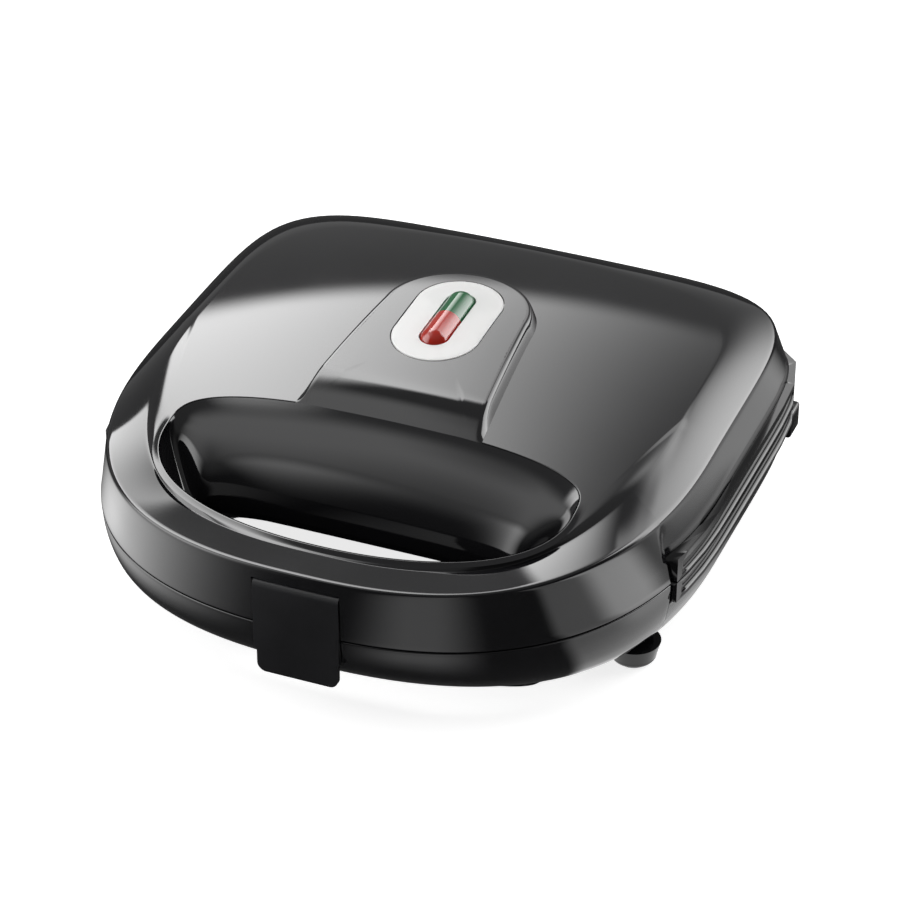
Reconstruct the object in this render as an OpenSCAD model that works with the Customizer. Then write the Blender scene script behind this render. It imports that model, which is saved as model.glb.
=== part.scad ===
// Two-slice sandwich toaster with a hinged lid, a handle opening through both halves
// and a latch clip on the nose.  All lengths are in millimetres and angles in degrees.
// The parts are drawn in a seam frame: z = 0 on the parting plane of lid and base, +Y to
// the hinge.  at_seam() lifts them so that the feet stand on z = 0.

/* [Body outline] */
// Half width of the body at the seam
body_half_w = 117.3; // [112:0.1:124]
// Reach of the nose in front of the outline centre, at the seam
nose_reach = 127.6; // [124:0.1:134]
// Reach of the back behind the outline centre, at the seam
tail_reach = 112.9; // [110:0.1:118]
// Roundness power of the nose outline, 2 is an ellipse
nose_power = 2.46; // [2.3:0.01:2.7]
// Squareness power of the back outline
tail_power = 7.4; // [6:0.1:9]
// Wall thickness of the covers
wall = 2.4; // [2:0.1:3]
// Half of the gap left open between the lid and the base at the nose
seam_gap = 0.25; // [0.2:0.05:0.4]

/* [Lid cover] */
// Height of the crease line above the seam
crease_h = 26.6; // [24:0.1:28]
// Rise of the crease line per mm towards the back
crease_rise = 0.012; // [0:0.001:0.03]
// Half width at the crease
crease_half_w = 111.5; // [108:0.1:114]
// Reach of the crease at the nose
crease_nose = 128.9; // [126:0.1:132]
// Reach of the crease at the back
crease_tail = 113.4; // [111:0.1:116]
// Half width of the crowned plateau inside the bevel band
plateau_half_w = 98; // [94:0.1:102]
// Reach of the plateau at the nose
plateau_nose = 108; // [106:0.1:112]
// Reach of the plateau at the back
plateau_tail = 88; // [82:0.1:96]
// Height of the crown on the centre line above the seam
crown_h = 44.2; // [42:0.1:48]
// Slope of the crown along Y at the outline centre
crown_slope = 0.064; // [0.04:0.001:0.09]
// Sag of the crown along Y, per square mm
crown_sag_y = 0.0011; // [0.0008:0.0001:0.0013]
// Sag of the crown along X, per square mm
crown_sag_x = 0.0008; // [0.0005:0.0001:0.001]
// Swell of the bevel band over the straight line from crease to plateau
bevel_swell = 1.4; // [0.5:0.1:2.5]

/* [Handle opening] */
// Half width of the opening at its rim
rim_half_w = 79.4; // [76:0.1:82]
// Y of the widest line of the rim
rim_y = -65.3; // [-68:0.1:-62]
// Reach of the rim towards the back
rim_back = 21.3; // [19:0.1:24]
// Reach of the rim towards the nose
rim_front = 37.5; // [35:0.1:39]
// Half width of the finger gap at the seam
gap_half_w = 62; // [58:0.1:66]
// Y of the widest line of the finger gap
gap_y = -84; // [-86:0.1:-82]
// Reach of the finger gap towards the back
gap_back = 10; // [8:0.1:11]
// Reach of the finger gap towards the nose
gap_front = 18; // [15:0.1:19]
// Reach of the finger gap towards the back in the lower frame
low_gap_back = 23.4; // [20:0.1:24]
// Half width of the hand scoop at the underside of the base
scoop_half_w = 76; // [70:0.5:80]
// Reach of the hand scoop towards the back at the underside
scoop_back = 60; // [50:0.5:62]
// Reach of the hand scoop towards the nose at the underside
scoop_front = 17; // [15:0.1:18]
// Wall thickness of the handle insert
insert_wall = 2.2; // [1.8:0.1:2.6]
// Clearance between the insert and the lid cover
insert_clear = 0.3; // [0.2:0.05:0.5]

/* [Tongue] */
// Height of the tongue above the crown
tongue_h = 4.9; // [3.5:0.1:6]
// Half width of the tongue top at its rear end
tongue_half_w = 27.8; // [26:0.1:30]
// Half width of the tongue top at the opening
tongue_front_half_w = 33.9; // [32:0.1:36]
// Y of the rear end of the tongue top
tongue_end = 48.8; // [46:0.1:52]
// Depth of the rounded rear end of the tongue
tongue_round = 27; // [24:0.1:30]
// Spread of the tongue side wall from top to foot
tongue_draft = 2.8; // [2:0.1:3.5]
// Half width of the oval bezel
bezel_half_w = 16.8; // [15:0.1:18]
// Y of the bezel centre
bezel_y = 13.6; // [10:0.1:16]
// Half length of the oval bezel
bezel_half_l = 28.4; // [26:0.1:31]
// Thickness of the bezel
bezel_t = 1.8; // [1.4:0.1:2.4]
// Radius of the lens capsule
lens_r = 5.6; // [5:0.1:6.5]
// Half length of the lens capsule
lens_half_l = 18.6; // [16:0.1:21]
// Depth of the capsule axis below the bezel face
lens_sink = 2.3; // [1.5:0.1:3]

/* [Base cover] */
// Depth of the base cover below the seam
base_depth = 31; // [29:0.1:33]
// Upward sweep of the base bottom at the nose, per square mm
chin_rise = 0.001; // [0.0005:0.0001:0.0015]
// Y where the sweep of the base bottom starts
chin_y = -45; // [-55:1:-35]

/* [Frames] */
// Half width of the frames where they stand proud at the sides
frame_half_w = 118; // [117.6:0.1:120]
// Reach of the frames at the back
frame_tail = 112.4; // [110:0.1:112.8]
// Roundness power of the frames at the nose end
frame_power = 2.55; // [2.3:0.01:2.7]
// Y of the front end face of the proud part of the frames
frame_front = -48.9; // [-54:0.1:-44]
// Half width of the lid skirt where it meets the top of the frame
cove_half_w = 115.1; // [114:0.1:116]
// Roundness power of the skirt where it meets the top of the frame
cove_power = 2.3; // [2.2:0.01:2.6]
// Height of the upper frame above the seam
upper_frame_h = 10.1; // [9:0.1:11]
// Depth of the lower frame below the seam
lower_frame_h = 8.7; // [8:0.1:10]
// Half of the running gap between the frames
frame_gap = 0.3; // [0.2:0.05:0.5]
// Thickness of the web that closes the handle halves
web_t = 2.2; // [1.8:0.1:2.6]
// Height of the web of the upper frame over its lower face
upper_web_lift = 4; // [3:0.1:5]
// Depth of the web of the lower frame under its upper face
lower_web_drop = 2.7; // [2:0.1:3]
// Wall of a frame between the finger gap and the plate
front_wall = 2.4; // [2:0.1:3]
// Clearance between a frame web and the cover wall
web_clear = 0.4; // [0.2:0.1:0.8]

/* [Cooking plates] */
// Width of a cooking plate
plate_w = 212; // [206:0.5:214]
// Depth of a cooking plate, front to back
plate_d = 144; // [138:0.5:146]
// Y of the plate centre
plate_y = 14; // [12:0.1:16]
// Thickness of a plate at its rim
plate_t = 3; // [2.5:0.1:3.5]
// Half of the gap between the closed plates
plate_gap = 0.6; // [0.5:0.1:1]
// Corner radius of a plate
plate_r = 8; // [5:0.5:12]
// Clearance of a plate in its frame
plate_clear = 0.5; // [0.3:0.1:0.8]
// Depth of the sandwich pockets
pocket_depth = 9.5; // [8:0.1:10.5]
// Metal thickness round the pockets
pocket_wall = 2; // [1.6:0.1:2.4]
// Width of the sealing ridges between pockets
ridge_w = 9; // [8:0.5:11]
// Sideways taper of a pocket wall from face to floor
pocket_draft = 5; // [3:0.5:7]
// Corner radius of a pocket at the plate face
pocket_r = 9; // [7.5:0.5:11]
// Rim left round the pockets
pocket_margin = 9; // [8:0.5:12]

/* [Heating] */
// Radius of the heater tube
heater_r = 3.3; // [3:0.1:3.6]
// Distance between the legs of the heater tube
heater_pitch = 70; // [60:1:80]
// Length of the straight heater legs
heater_leg = 130; // [115:1:140]
// Radius of the cold pins of the heater
pin_r = 1.5; // [1.2:0.1:1.8]
// Length of the cold pins of the heater
cold_pin_l = 12; // [9:0.5:15]
// Width of a heater clamp bar
clamp_w = 12; // [9:0.5:14]
// Thickness of a heater clamp bar
clamp_t = 1.2; // [1:0.1:1.6]
// X of the clamp bars either side of the middle
clamp_x = 53; // [51:0.5:55]
// Thickness of a heat shield
shield_t = 0.8; // [0.6:0.1:1.2]
// Width of a heat shield
shield_w = 176; // [160:1:184]
// Depth of a heat shield, front to back
shield_d = 106; // [100:1:118]

/* [Hinge] */
// Height of the hinge axis above the seam
hinge_z = 5; // [4.8:0.1:5.2]
// Distance of the hinge axis inside the frame back
hinge_inset = 3.6; // [3.5:0.1:4]
// X of the hinge ears either side of the middle
hinge_x = 70; // [60:0.5:74]
// Width of a hinge ear
ear_w = 7; // [6:0.5:9]
// Radius of a hinge ear
ear_r = 3.4; // [3.1:0.1:3.5]
// Radius of a hinge pin
hinge_pin_r = 1.5; // [1.2:0.1:1.8]
// Length of a hinge pin
hinge_pin_l = 23; // [19:0.5:27]
// Running clearance of pins in their bores
run_clear = 0.05; // [0.03:0.01:0.1]
// Clearance round the ears in the upper frame
ear_clear = 0.5; // [0.4:0.05:0.8]

/* [Latch] */
// Half width of the latch
latch_half_w = 16.4; // [14:0.1:18]
// Height of the latch axis above the seam
latch_z = 16; // [14:0.1:17]
// Radius of the latch knuckle
knuckle_r = 3.3; // [3:0.1:3.6]
// Thickness of the latch plate
latch_t = 2.2; // [1.8:0.1:2.6]
// How far the latch stands proud of the nose
latch_proud = 1; // [0.8:0.1:1.6]
// Depth of the latch plate below the seam
latch_drop = 10; // [9:0.1:11.5]
// Depth of the finger tab below the seam
tab_drop = 20.5; // [18:0.1:23]
// Half width of the finger tab
tab_half_w = 15.6; // [13:0.1:16]
// Corner radius of the finger tab
tab_r = 3.5; // [2:0.5:5]
// Length of the latch nib towards the base
nib_l = 1.1; // [0.8:0.1:1.1]
// Clearance round the latch in its recess
latch_clear = 0.35; // [0.3:0.05:0.5]
// Radius of the latch pin
latch_pin_r = 1.1; // [0.9:0.1:1.3]
// Depth of a latch pin end in its boss
latch_pin_seat = 3.4; // [2.5:0.1:4]
// Radius of the pivot bosses behind the nose
boss_back = 7.4; // [6.5:0.1:9]

/* [Feet and base fittings] */
// Height of the seam above the table
seam_h = 40; // [38:0.5:42]
// Radius of a foot at its sole
foot_r = 8.6; // [7.5:0.1:9.5]
// Radius of a foot where it leaves the base cover
foot_root_r = 10; // [9:0.1:11]
// X of the feet either side of the middle
foot_x = 97.5; // [90:0.5:99]
// Y of the front feet
foot_front_y = -46; // [-52:0.5:-40]
// Y of the rear feet
foot_rear_y = 76; // [66:0.5:82]
// Radius of a rubber foot pad
pad_r = 6; // [5:0.1:7]
// Thickness of a rubber foot pad
pad_t = 2.4; // [1.6:0.1:3]
// How far a foot pad stands out of its foot
pad_proud = 0.8; // [0.4:0.1:1.2]
// Width of a rear corner cleat
cleat_w = 9; // [7:0.5:11]
// Height of a rear corner cleat
cleat_h = 11; // [9:0.5:13]
// Radius of the cord bore in the inlet bush
cord_bore_r = 3.6; // [3:0.1:4]
// Outer radius of the inlet bush neck
bush_r = 5.5; // [5.2:0.1:6.5]
// Length of the inlet bush outside the cover
bush_out = 7; // [4:0.5:9]
// X of the cord inlet
bush_x = 0; // [-40:1:40]
// Depth of the cord inlet axis below the seam
bush_z = 19.5; // [19:0.1:21]

/* [Screws] */
// Radius of a screw shank
screw_r = 1.6; // [1.4:0.1:1.9]
// Radius of a screw head
screw_head_r = 3; // [2.8:0.1:3.4]
// Height of a screw head
screw_head_h = 1.8; // [1.5:0.1:2.2]
// Radius of a screw boss
screw_boss_r = 4.2; // [4:0.1:5]
// Clearance radius added to screw holes
screw_clear = 0.2; // [0.1:0.05:0.3]

/* [Hidden] */

steps = 60;             // even steps round every lofted outline
eps = 0.01;
$fn = 48;

// The box round the toaster runs from the nose to the end of the inlet bush
front_end = max(nose_reach + latch_proud, crease_nose);
rear_end = max(crease_tail, tail_reach + bush_out);
shift_y = (front_end - rear_end) / 2;

hinge_y = frame_tail - hinge_inset;
latch_y = -nose_reach - latch_proud + knuckle_r;

module at_seam() { translate([0, shift_y, seam_h]) children(); }

// ---------- outlines ----------
// An outline is [half width, y centre, reach to the back, reach to the nose, back power, nose power].
seam_line = [body_half_w, 0, tail_reach, nose_reach, tail_power, nose_power];
crease_line = [crease_half_w, 0, crease_tail, crease_nose, 5.7, 2.55];
plateau_line = [plateau_half_w, 0, plateau_tail, plateau_nose, 4.6, 2.55];
rim_line = [rim_half_w, rim_y, rim_back, rim_front, 3.8, 2.19];
gap_line = [gap_half_w, gap_y, gap_back, gap_front, 5, 2.3];
low_gap_line = [gap_half_w + 0.5, gap_y, low_gap_back, gap_front, 5, 2.3];
scoop_line = [scoop_half_w, gap_y, scoop_back, scoop_front, 8, 2.3];
frame_line = [frame_half_w, 0, frame_tail, nose_reach, 8, frame_power];
cove_line = [cove_half_w, 0, tail_reach, nose_reach, tail_power, cove_power];

function grow(o, d) = [o[0] + d, o[1], o[2] + d, o[3] + d, o[4], o[5]];
function mix(a, b, f) = a + (b - a) * f;
function super(c, s, n) = 1 / pow(pow(abs(c), n) + pow(abs(s), n), 1 / n);
function on_line(o, t) =
    let (c = cos(t), s = sin(t), k = super(c, s, s >= 0 ? o[4] : o[5]))
    [o[0] * c * k, o[1] + (s >= 0 ? o[2] : o[3]) * s * k];

// Directions of the points round an outline: even steps, and a close pair on each side
// where the skirt steps up over the proud part of the frames
skirt_clear = 2;        // gap between the stepped skirt and the end face of a frame
step_share = (skirt_clear - frame_front) / nose_reach;
step_dir = atan2(step_share, pow(1 - pow(step_share, nose_power), 1 / nose_power));
step_half = 0.12;
even_dirs = [for (i = [0:steps - 1]) 360 * i / steps];
function clear_of(t, d) = abs(t - 360 + d) > 1.5 && abs(t - 180 - d) > 1.5;
dirs = concat(
    [for (t = even_dirs) if (t < 180 + step_dir && clear_of(t, step_dir)) t],
    [180 + step_dir - step_half, 180 + step_dir + step_half],
    [for (t = even_dirs) if (t > 180 + step_dir && t < 360 - step_dir && clear_of(t, step_dir)) t],
    [360 - step_dir - step_half, 360 - step_dir + step_half],
    [for (t = even_dirs) if (t > 360 - step_dir && clear_of(t, step_dir)) t]
);
function beside_frame(t) = t < 180 + step_dir || t > 360 - step_dir;
function outline(o) = [for (t = dirs) on_line(o, t)];

// Heights of the lid skin over a plan point
function crown(p) = crown_h + crown_slope * p[1] - crown_sag_y * p[1] * p[1]
    - crown_sag_x * p[0] * p[0];
function crease_z(p) = crease_h + crease_rise * p[1];
function chin_z(p) = -base_depth + chin_rise * pow(min(0, p[1] - chin_y), 2);

// ---------- lofts ----------
// Joins rings of equal length into a skin.  loop = true joins the last ring to the first.
function skin_faces(m, n, loop) = [
    for (i = [0:(loop ? m - 1 : m - 2)], j = [0:n - 1])
        let (a = i * n + j, b = i * n + (j + 1) % n,
             c = ((i + 1) % m) * n + (j + 1) % n, d = ((i + 1) % m) * n + j)
        each [[a, c, b], [a, d, c]]
];
function flat(rings) = [for (r = rings, p = r) p];
function mean_of(r) = let (n = len(r)) [for (k = [0:2]) [for (p = r) p[k]] * [for (i = [1:n]) 1 / n]];

// A closed tube of rings, such as a shell with one hole through it
module loft_loop(rings) {
    polyhedron(flat(rings), skin_faces(len(rings), len(rings[0]), true), convexity = 8);
}

// A solid from a bottom ring to a top ring, each closed by a fan to its middle
module loft_solid(rings) {
    m = len(rings);
    n = len(rings[0]);
    low = m * n;
    polyhedron(
        concat(flat(rings), [mean_of(rings[0]), mean_of(rings[m - 1])]),
        concat(
            skin_faces(m, n, false),
            [for (j = [0:n - 1]) [j, (j + 1) % n, low]],
            [for (j = [0:n - 1]) [(m - 1) * n + (j + 1) % n, (m - 1) * n + j, low + 1]]
        ),
        convexity = 8
    );
}

// ---------- lid cover ----------
// Rings from the skirt edge over the crease and the crown to the rim of the opening
function bevel_ring(f, drop) = [for (t = dirs)
    let (a = on_line(crease_line, t), b = on_line(plateau_line, t),
         p = mix(a, b, f))
    [p[0], p[1], mix(crease_z(a), crown(b), f) + bevel_swell * 4 * f * (1 - f) - drop]];
function crown_ring(f, drop) = [for (t = dirs)
    let (p = mix(on_line(plateau_line, t), on_line(rim_line, t), f))
    [p[0], p[1], crown(p) - drop]];
function skirt_ring(f, inset) = [for (t = dirs)
    let (foot = beside_frame(t) ? cove_line : seam_line,
         p = mix(on_line(grow(foot, -inset), t), on_line(grow(crease_line, -inset), t), f))
    [p[0], p[1], mix(beside_frame(t) ? upper_frame_h : seam_gap, crease_z(p) - inset * 0.6, f)]];

lid_rings = concat(
    [for (f = [0, 0.5, 1]) skirt_ring(f, 0)],
    [for (f = [0.4]) bevel_ring(f, 0)],
    [for (f = [0, 0.3, 0.6, 0.85, 1]) crown_ring(f, 0)],
    [for (f = [1, 0.85, 0.6, 0.3, 0]) crown_ring(f, wall)],
    [for (f = [0.4]) bevel_ring(f, wall)],
    [for (f = [1, 0.5, 0]) skirt_ring(f, wall)]
);

// Plan places of the screws that hold the frames to the covers
lid_screw_spots = [[-92, 96], [92, 96], [-92, -65], [92, -65]];
function boss_top(p) = min([for (dx = [-1, 1], dy = [-1, 1])
    skin_low(p + [dx, dy] * screw_boss_r * 0.7)]) - wall * 0.4;
// Height of the lid skin anywhere inside the crease, taken along the line to the crease
function skin_low(p) =
    let (t = atan2(p[1] / (p[1] > 0 ? crease_tail : crease_nose), p[0] / crease_half_w),
         a = on_line(crease_line, t), b = on_line(plateau_line, t),
         f = norm(p) <= norm(b) ? 1 : (norm(a) - norm(p)) / (norm(a) - norm(b)))
    f >= 1 ? crown(p) : mix(crease_z(a), crown(b), f) + bevel_swell * 4 * f * (1 - f);

// The block behind the nose that carries the latch pin
block_half_w = latch_half_w + latch_clear + latch_pin_seat + 1.2;
block_back = latch_y + boss_back - 0.6;
module latch_block() {
    front = -nose_reach + 1.2;
    top = latch_z + knuckle_r + 1.8;
    translate([-block_half_w, front, frame_gap])
        cube([2 * block_half_w, block_back - front, top - frame_gap]);
}
module latch_recess() {
    half = latch_half_w + latch_clear;
    back = latch_y - knuckle_r + latch_t + latch_clear;
    translate([-half, -nose_reach - 10, -1]) cube([2 * half, nose_reach + 10 + back, latch_z + 1]);
    translate([-half, latch_y, latch_z]) rotate([0, 90, 0])
        cylinder(r = knuckle_r + latch_clear, h = 2 * half);
    translate([-half, -nose_reach - 10, latch_z - knuckle_r])
        cube([2 * half, nose_reach + 10 + latch_y - 1, 2 * knuckle_r + latch_clear]);
}

module lid_cover() {
    color([0.06, 0.06, 0.065]) difference() {
        union() {
            loft_loop(lid_rings);
            latch_block();
            for (p = lid_screw_spots)
                translate([p[0], p[1], upper_frame_h])
                    cylinder(r = screw_boss_r, h = boss_top(p) - upper_frame_h);
            for (y = holder_screw_ys)
                translate([-holder_pad / 2, y - holder_pad / 2, holder_top])
                    cube([holder_pad, holder_pad, crown([0, y]) - wall / 2 - holder_top]);
        }
        latch_recess();
        latch_pin_shape(latch_pin_r, 0.2);
        for (y = holder_screw_ys)
            translate([0, y, holder_top - 1]) cylinder(r = holder_screw_r, h = 1 + holder_screw_bite + 0.3);
        for (p = lid_screw_spots)
            translate([p[0], p[1], upper_frame_h - 1]) cylinder(r = screw_r, h = 10);
        lens_slot(lens_r + 1.2, crown([0, 0]) - 12, 24);
    }
}

// ---------- handle insert ----------
// Rings of the funnel from the rim down to the web.  a runs from 0 at the rim to 90.  The back
// wall rolls over at once, and the ends and the front drop straight first.
funnel_floor = frame_gap + upper_web_lift + web_t + 0.1;
function funnel_share(a, t) = mix(pow(1 - cos(a), 1.6), sin(a), min(1, max(0, 1.5 * sin(t))));
function funnel_ring(a, out) = let (g = out * min(1, 1.6 * sin(a))) [for (t = dirs)
    let (r = on_line(grow(rim_line, -insert_clear), t),
         p = mix(on_line(grow(rim_line, g - insert_clear), t), on_line(grow(gap_line, g), t),
                 funnel_share(a, t)))
    [p[0], p[1], mix(funnel_floor, crown(r), cos(a)) - out * cos(a)]];
funnel_steps = [0, 18, 36, 54, 72, 90];
funnel_rings = concat(
    [for (a = funnel_steps) funnel_ring(a, 0)],
    [for (i = [len(funnel_steps) - 1:-1:0]) funnel_ring(funnel_steps[i], insert_wall)]
);

// Half width of the tongue foot and top along Y
tongue_start = rim_y + rim_back - 3;
root_half_w = 26;
function tongue_side(y, grow_by) =
    mix(tongue_front_half_w, tongue_half_w,
        (y - tongue_start) / (tongue_end - tongue_round - tongue_start)) + grow_by;
// Plan outline of the tongue: straight sides, a rounded rear end and a straight front edge
function tongue_plan(g) = concat(
    [for (k = [0:7]) let (y = mix(tongue_start, tongue_end - tongue_round, k / 8))
        [tongue_side(y, g), y]],
    [for (k = [0:24]) let (t = 180 * k / 24)
        [(tongue_half_w + g) * cos(t), tongue_end - tongue_round + (tongue_round + g) * sin(t)]],
    [for (k = [0:7]) let (y = mix(tongue_end - tongue_round, tongue_start, (k + 1) / 8))
        [-tongue_side(y, g), y]],
    [for (k = [1:7]) [mix(-1, 1, k / 8) * tongue_side(tongue_start, g), tongue_start]]
);
// The tongue rises out of the wall of the opening over this length
tongue_ramp = 15;
tongue_lip = 0.2;
function tongue_lift(y) =
    let (f = min(1, max(0, (y - tongue_start) / tongue_ramp)))
    mix(tongue_lip, 1, sqrt(1 - (1 - f) * (1 - f)));
function tongue_ring(g, h, shrink = 1) =
    let (mid = [0, (tongue_start + tongue_end) / 2])
    [for (p = tongue_plan(g)) let (q = mid + (p - mid) * shrink)
        [q[0], q[1], crown(q) + 0.3 + h * tongue_h * tongue_lift(q[1])]];

module tongue() {
    loft_solid([
        tongue_ring(tongue_draft, 0, 0.35), tongue_ring(tongue_draft, 0, 0.7),
        tongue_ring(tongue_draft, 0), tongue_ring(tongue_draft * 0.72, 0.5),
        tongue_ring(tongue_draft * 0.3, 0.85), tongue_ring(0, 1),
        tongue_ring(0, 1, 0.7), tongue_ring(0, 1, 0.3)
    ]);
}

module lens_slot(r, z, h) {
    for (s = [-1, 1]) translate([0, bezel_y + s * (lens_half_l - lens_r), z])
        cylinder(r = r, h = h);
    translate([-r, bezel_y - lens_half_l + lens_r, z])
        cube([2 * r, 2 * (lens_half_l - lens_r), h]);
}

// Plan outline of the bezel, an oval with straight sides
function bezel_plan(g) =
    let (w = bezel_half_w + g, l = bezel_half_l + g)
    [for (i = [0:47]) let (t = 7.5 * i)
        [w * cos(t), bezel_y + (sin(t) >= 0 ? 1 : -1) * (l - w) * (i == 0 || i == 24 ? 0 : 1) + w * sin(t)]];
function bezel_ring(g, dz, shrink = 1) =
    [for (p = bezel_plan(g)) let (q = [0, bezel_y] + (p - [0, bezel_y]) * shrink)
        [q[0], q[1], crown(q) + 0.3 + tongue_h + dz]];

module handle_insert() {
    color([0.06, 0.06, 0.065]) difference() {
        union() {
            loft_loop(funnel_rings);
            tongue();
            // root that carries the tongue over the edge of the opening
            translate([-root_half_w, tongue_start + 0.8, crown([0, tongue_start]) - insert_wall + 0.3])
                cube([2 * root_half_w, rim_back - insert_clear - tongue_start + rim_y - 1.1, insert_wall + 0.4]);
        }
        loft_solid([bezel_ring(insert_clear, -bezel_t), bezel_ring(insert_clear, 3)]);
        lens_slot(lens_r + 0.5, crown([0, 0]) - 12, 24);
    }
}

module indicator_bezel() {
    color([0.93, 0.93, 0.92]) difference() {
        loft_solid([
            bezel_ring(0, -bezel_t + 0.05), bezel_ring(0, -0.2), bezel_ring(-0.4, 0.2),
            bezel_ring(-0.4, 0.2, 0.6)
        ]);
        lens_slot(lens_r + insert_clear, crown([0, 0]) - 12, 24);
    }
}

// ---------- indicator lens and lamps ----------
bezel_top = crown([0, bezel_y]) + 0.3 + tongue_h + 0.2;
lens_tilt = atan(crown_slope - 2 * crown_sag_y * bezel_y);
lens_foot = crown([0, bezel_y]) - wall - 1;
lens_gap = 0.1;

// Plan outline of the capsule lens with end radius r
function lens_plan(r) = [for (i = [0:31]) let (t = 11.25 * (i + 0.5))
    [r * cos(t), bezel_y + (sin(t) > 0 ? 1 : -1) * (lens_half_l - lens_r) + r * sin(t)]];
function lens_ring(a) = [for (p = lens_plan(lens_r * cos(a)))
    [p[0], p[1], bezel_top - lens_sink + lens_r * sin(a) + (p[1] - bezel_y) * tan(lens_tilt)]];
module lens_body() {
    loft_solid(concat(
        [[for (p = lens_plan(lens_r)) [p[0], p[1], lens_foot]]],
        [for (a = [0, 18, 36, 52, 66, 80]) lens_ring(a)]
    ));
}
module lens_half(side) {
    intersection() {
        lens_body();
        translate([-20, side > 0 ? bezel_y + lens_gap / 2 : bezel_y - lens_gap / 2 - 40, 0])
            cube([40, 40, 80]);
    }
}
module green_lens() { color([0.06, 0.42, 0.16]) lens_half(1); }
module red_lens() { color([0.85, 0.16, 0.13]) lens_half(-1); }

holder_half_w = 12;
holder_half_l = 25.5;
holder_h = 12;
holder_top = crown([holder_half_w, bezel_y - holder_half_l]) - wall - 0.3;
holder_floor = 3;
holder_pad = 5;
holder_screw_ys = [for (s = [-1, 1]) bezel_y + s * (holder_half_l - holder_pad / 2)];
holder_screw_r = 1.1;
holder_screw_bite = 1.6;
lamp_r = 3;
lamp_l = 14;
module lamp_holder() {
    color([0.75, 0.75, 0.72]) difference() {
        translate([-holder_half_w, bezel_y - holder_half_l, holder_top - holder_h])
            cube([2 * holder_half_w, 2 * holder_half_l, holder_h]);
        lens_slot(lens_r + insert_clear, holder_top - holder_h + holder_floor, holder_h);
        for (y = holder_screw_ys)
            translate([0, y, holder_top - holder_h - 1]) cylinder(r = holder_screw_r + 0.1, h = holder_h + 2);
    }
}
module holder_screws() {
    color([0.75, 0.76, 0.78]) for (y = holder_screw_ys) translate([0, y, holder_top - holder_h]) {
        translate([0, 0, -1.4]) cylinder(r = 2.1, h = 1.4);
        translate([0, 0, -0.5]) cylinder(r = holder_screw_r - eps, h = holder_h + 0.5 + holder_screw_bite);
    }
}
module neon_lamps() {
    color([0.9, 0.75, 0.6])
        for (s = [-1, 1]) translate([0, bezel_y + s * 9, holder_top - holder_h + holder_floor + lamp_r])
            rotate([90, 0, 0]) cylinder(r = lamp_r, h = lamp_l, center = true);
}

// ---------- frames ----------
module rounded_plan(w, d, r) {
    for (x = [-1, 1], y = [-1, 1]) translate([x * (w / 2 - r), y * (d / 2 - r)]) circle(r = r);
    square([w, d - 2 * r], center = true);
    square([w - 2 * r, d], center = true);
}
module plate_plan(extra) {
    translate([0, plate_y]) rounded_plan(plate_w + 2 * extra, plate_d + 2 * extra, plate_r + extra);
}
module half_plane(y) { translate([-200, y]) square([400, 400]); }

// Proud rim of a frame, with its flat front end face
module rim_plan() {
    intersection() {
        polygon(outline(frame_line));
        half_plane(frame_front);
    }
}
// Outline of the inside of a cover at a share of its height, less the clearance
function upper_room(h) =
    grow([for (i = [0:5]) mix(seam_line[i], crease_line[i], h / crease_h)], -wall - web_clear);
function lower_room(h) = grow(level_line(level_at(h / base_depth)), -wall - web_clear);
// Thin web of a frame inside the covers, with the finger gap and the latch notch
module web_plan(room, gap) {
    difference() {
        polygon(outline(room));
        half_plane(frame_front + 1);
        polygon(outline(gap));
        translate([-block_half_w - web_clear, -nose_reach - 5])
            square([2 * (block_half_w + web_clear), nose_reach + 5 + block_back + web_clear]);
    }
}
ledge_t = 1.6;
ledge_foot = plate_gap + plate_t + ledge_t;
module front_wall_plan(room) {
    y = plate_y - plate_d / 2 - plate_clear - front_wall;
    intersection() {
        translate([-200, y]) square([400, frame_front + 1 - y]);
        polygon(outline(room));
    }
}
// A frame drawn upwards from the seam: h is its height, web its lift, room and gap its outlines
module frame_body(h, web, web_room, wall_room, wall_h, gap) {
    difference() {
        union() {
            translate([0, 0, web]) linear_extrude(web_t) web_plan(web_room, gap);
            linear_extrude(h - frame_gap) rim_plan();
            linear_extrude(wall_h - frame_gap) front_wall_plan(wall_room);
        }
        translate([0, 0, -1]) linear_extrude(h + 2) plate_plan(plate_clear);
    }
    // Ledge that the plate rests on, with lugs for the plate screws
    translate([0, 0, plate_gap - frame_gap + plate_t]) linear_extrude(ledge_t) difference() {
        union() {
            difference() {
                plate_plan(plate_clear + 1);
                plate_plan(-2);
            }
            for (p = plate_screw_spots) translate([p[0], p[1] + plate_y]) translate([-3.8, -5])
                square([p[0] > 0 ? 9 : 7.6, 10]);
            for (p = plate_screw_spots) if (p[0] < 0) translate([p[0] - 5.2, p[1] + plate_y - 5])
                square([3, 10]);
        }
        for (p = plate_screw_spots) translate([p[0], p[1] + plate_y]) circle(r = screw_r + screw_clear);
    }
}

ear_spots = [-hinge_x, hinge_x];
module hinge_bore(r, extra = 0) {
    for (x = ear_spots) translate([x, hinge_y, hinge_z]) rotate([0, 90, 0])
        cylinder(r = r, h = hinge_pin_l + extra, center = true);
}

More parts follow.
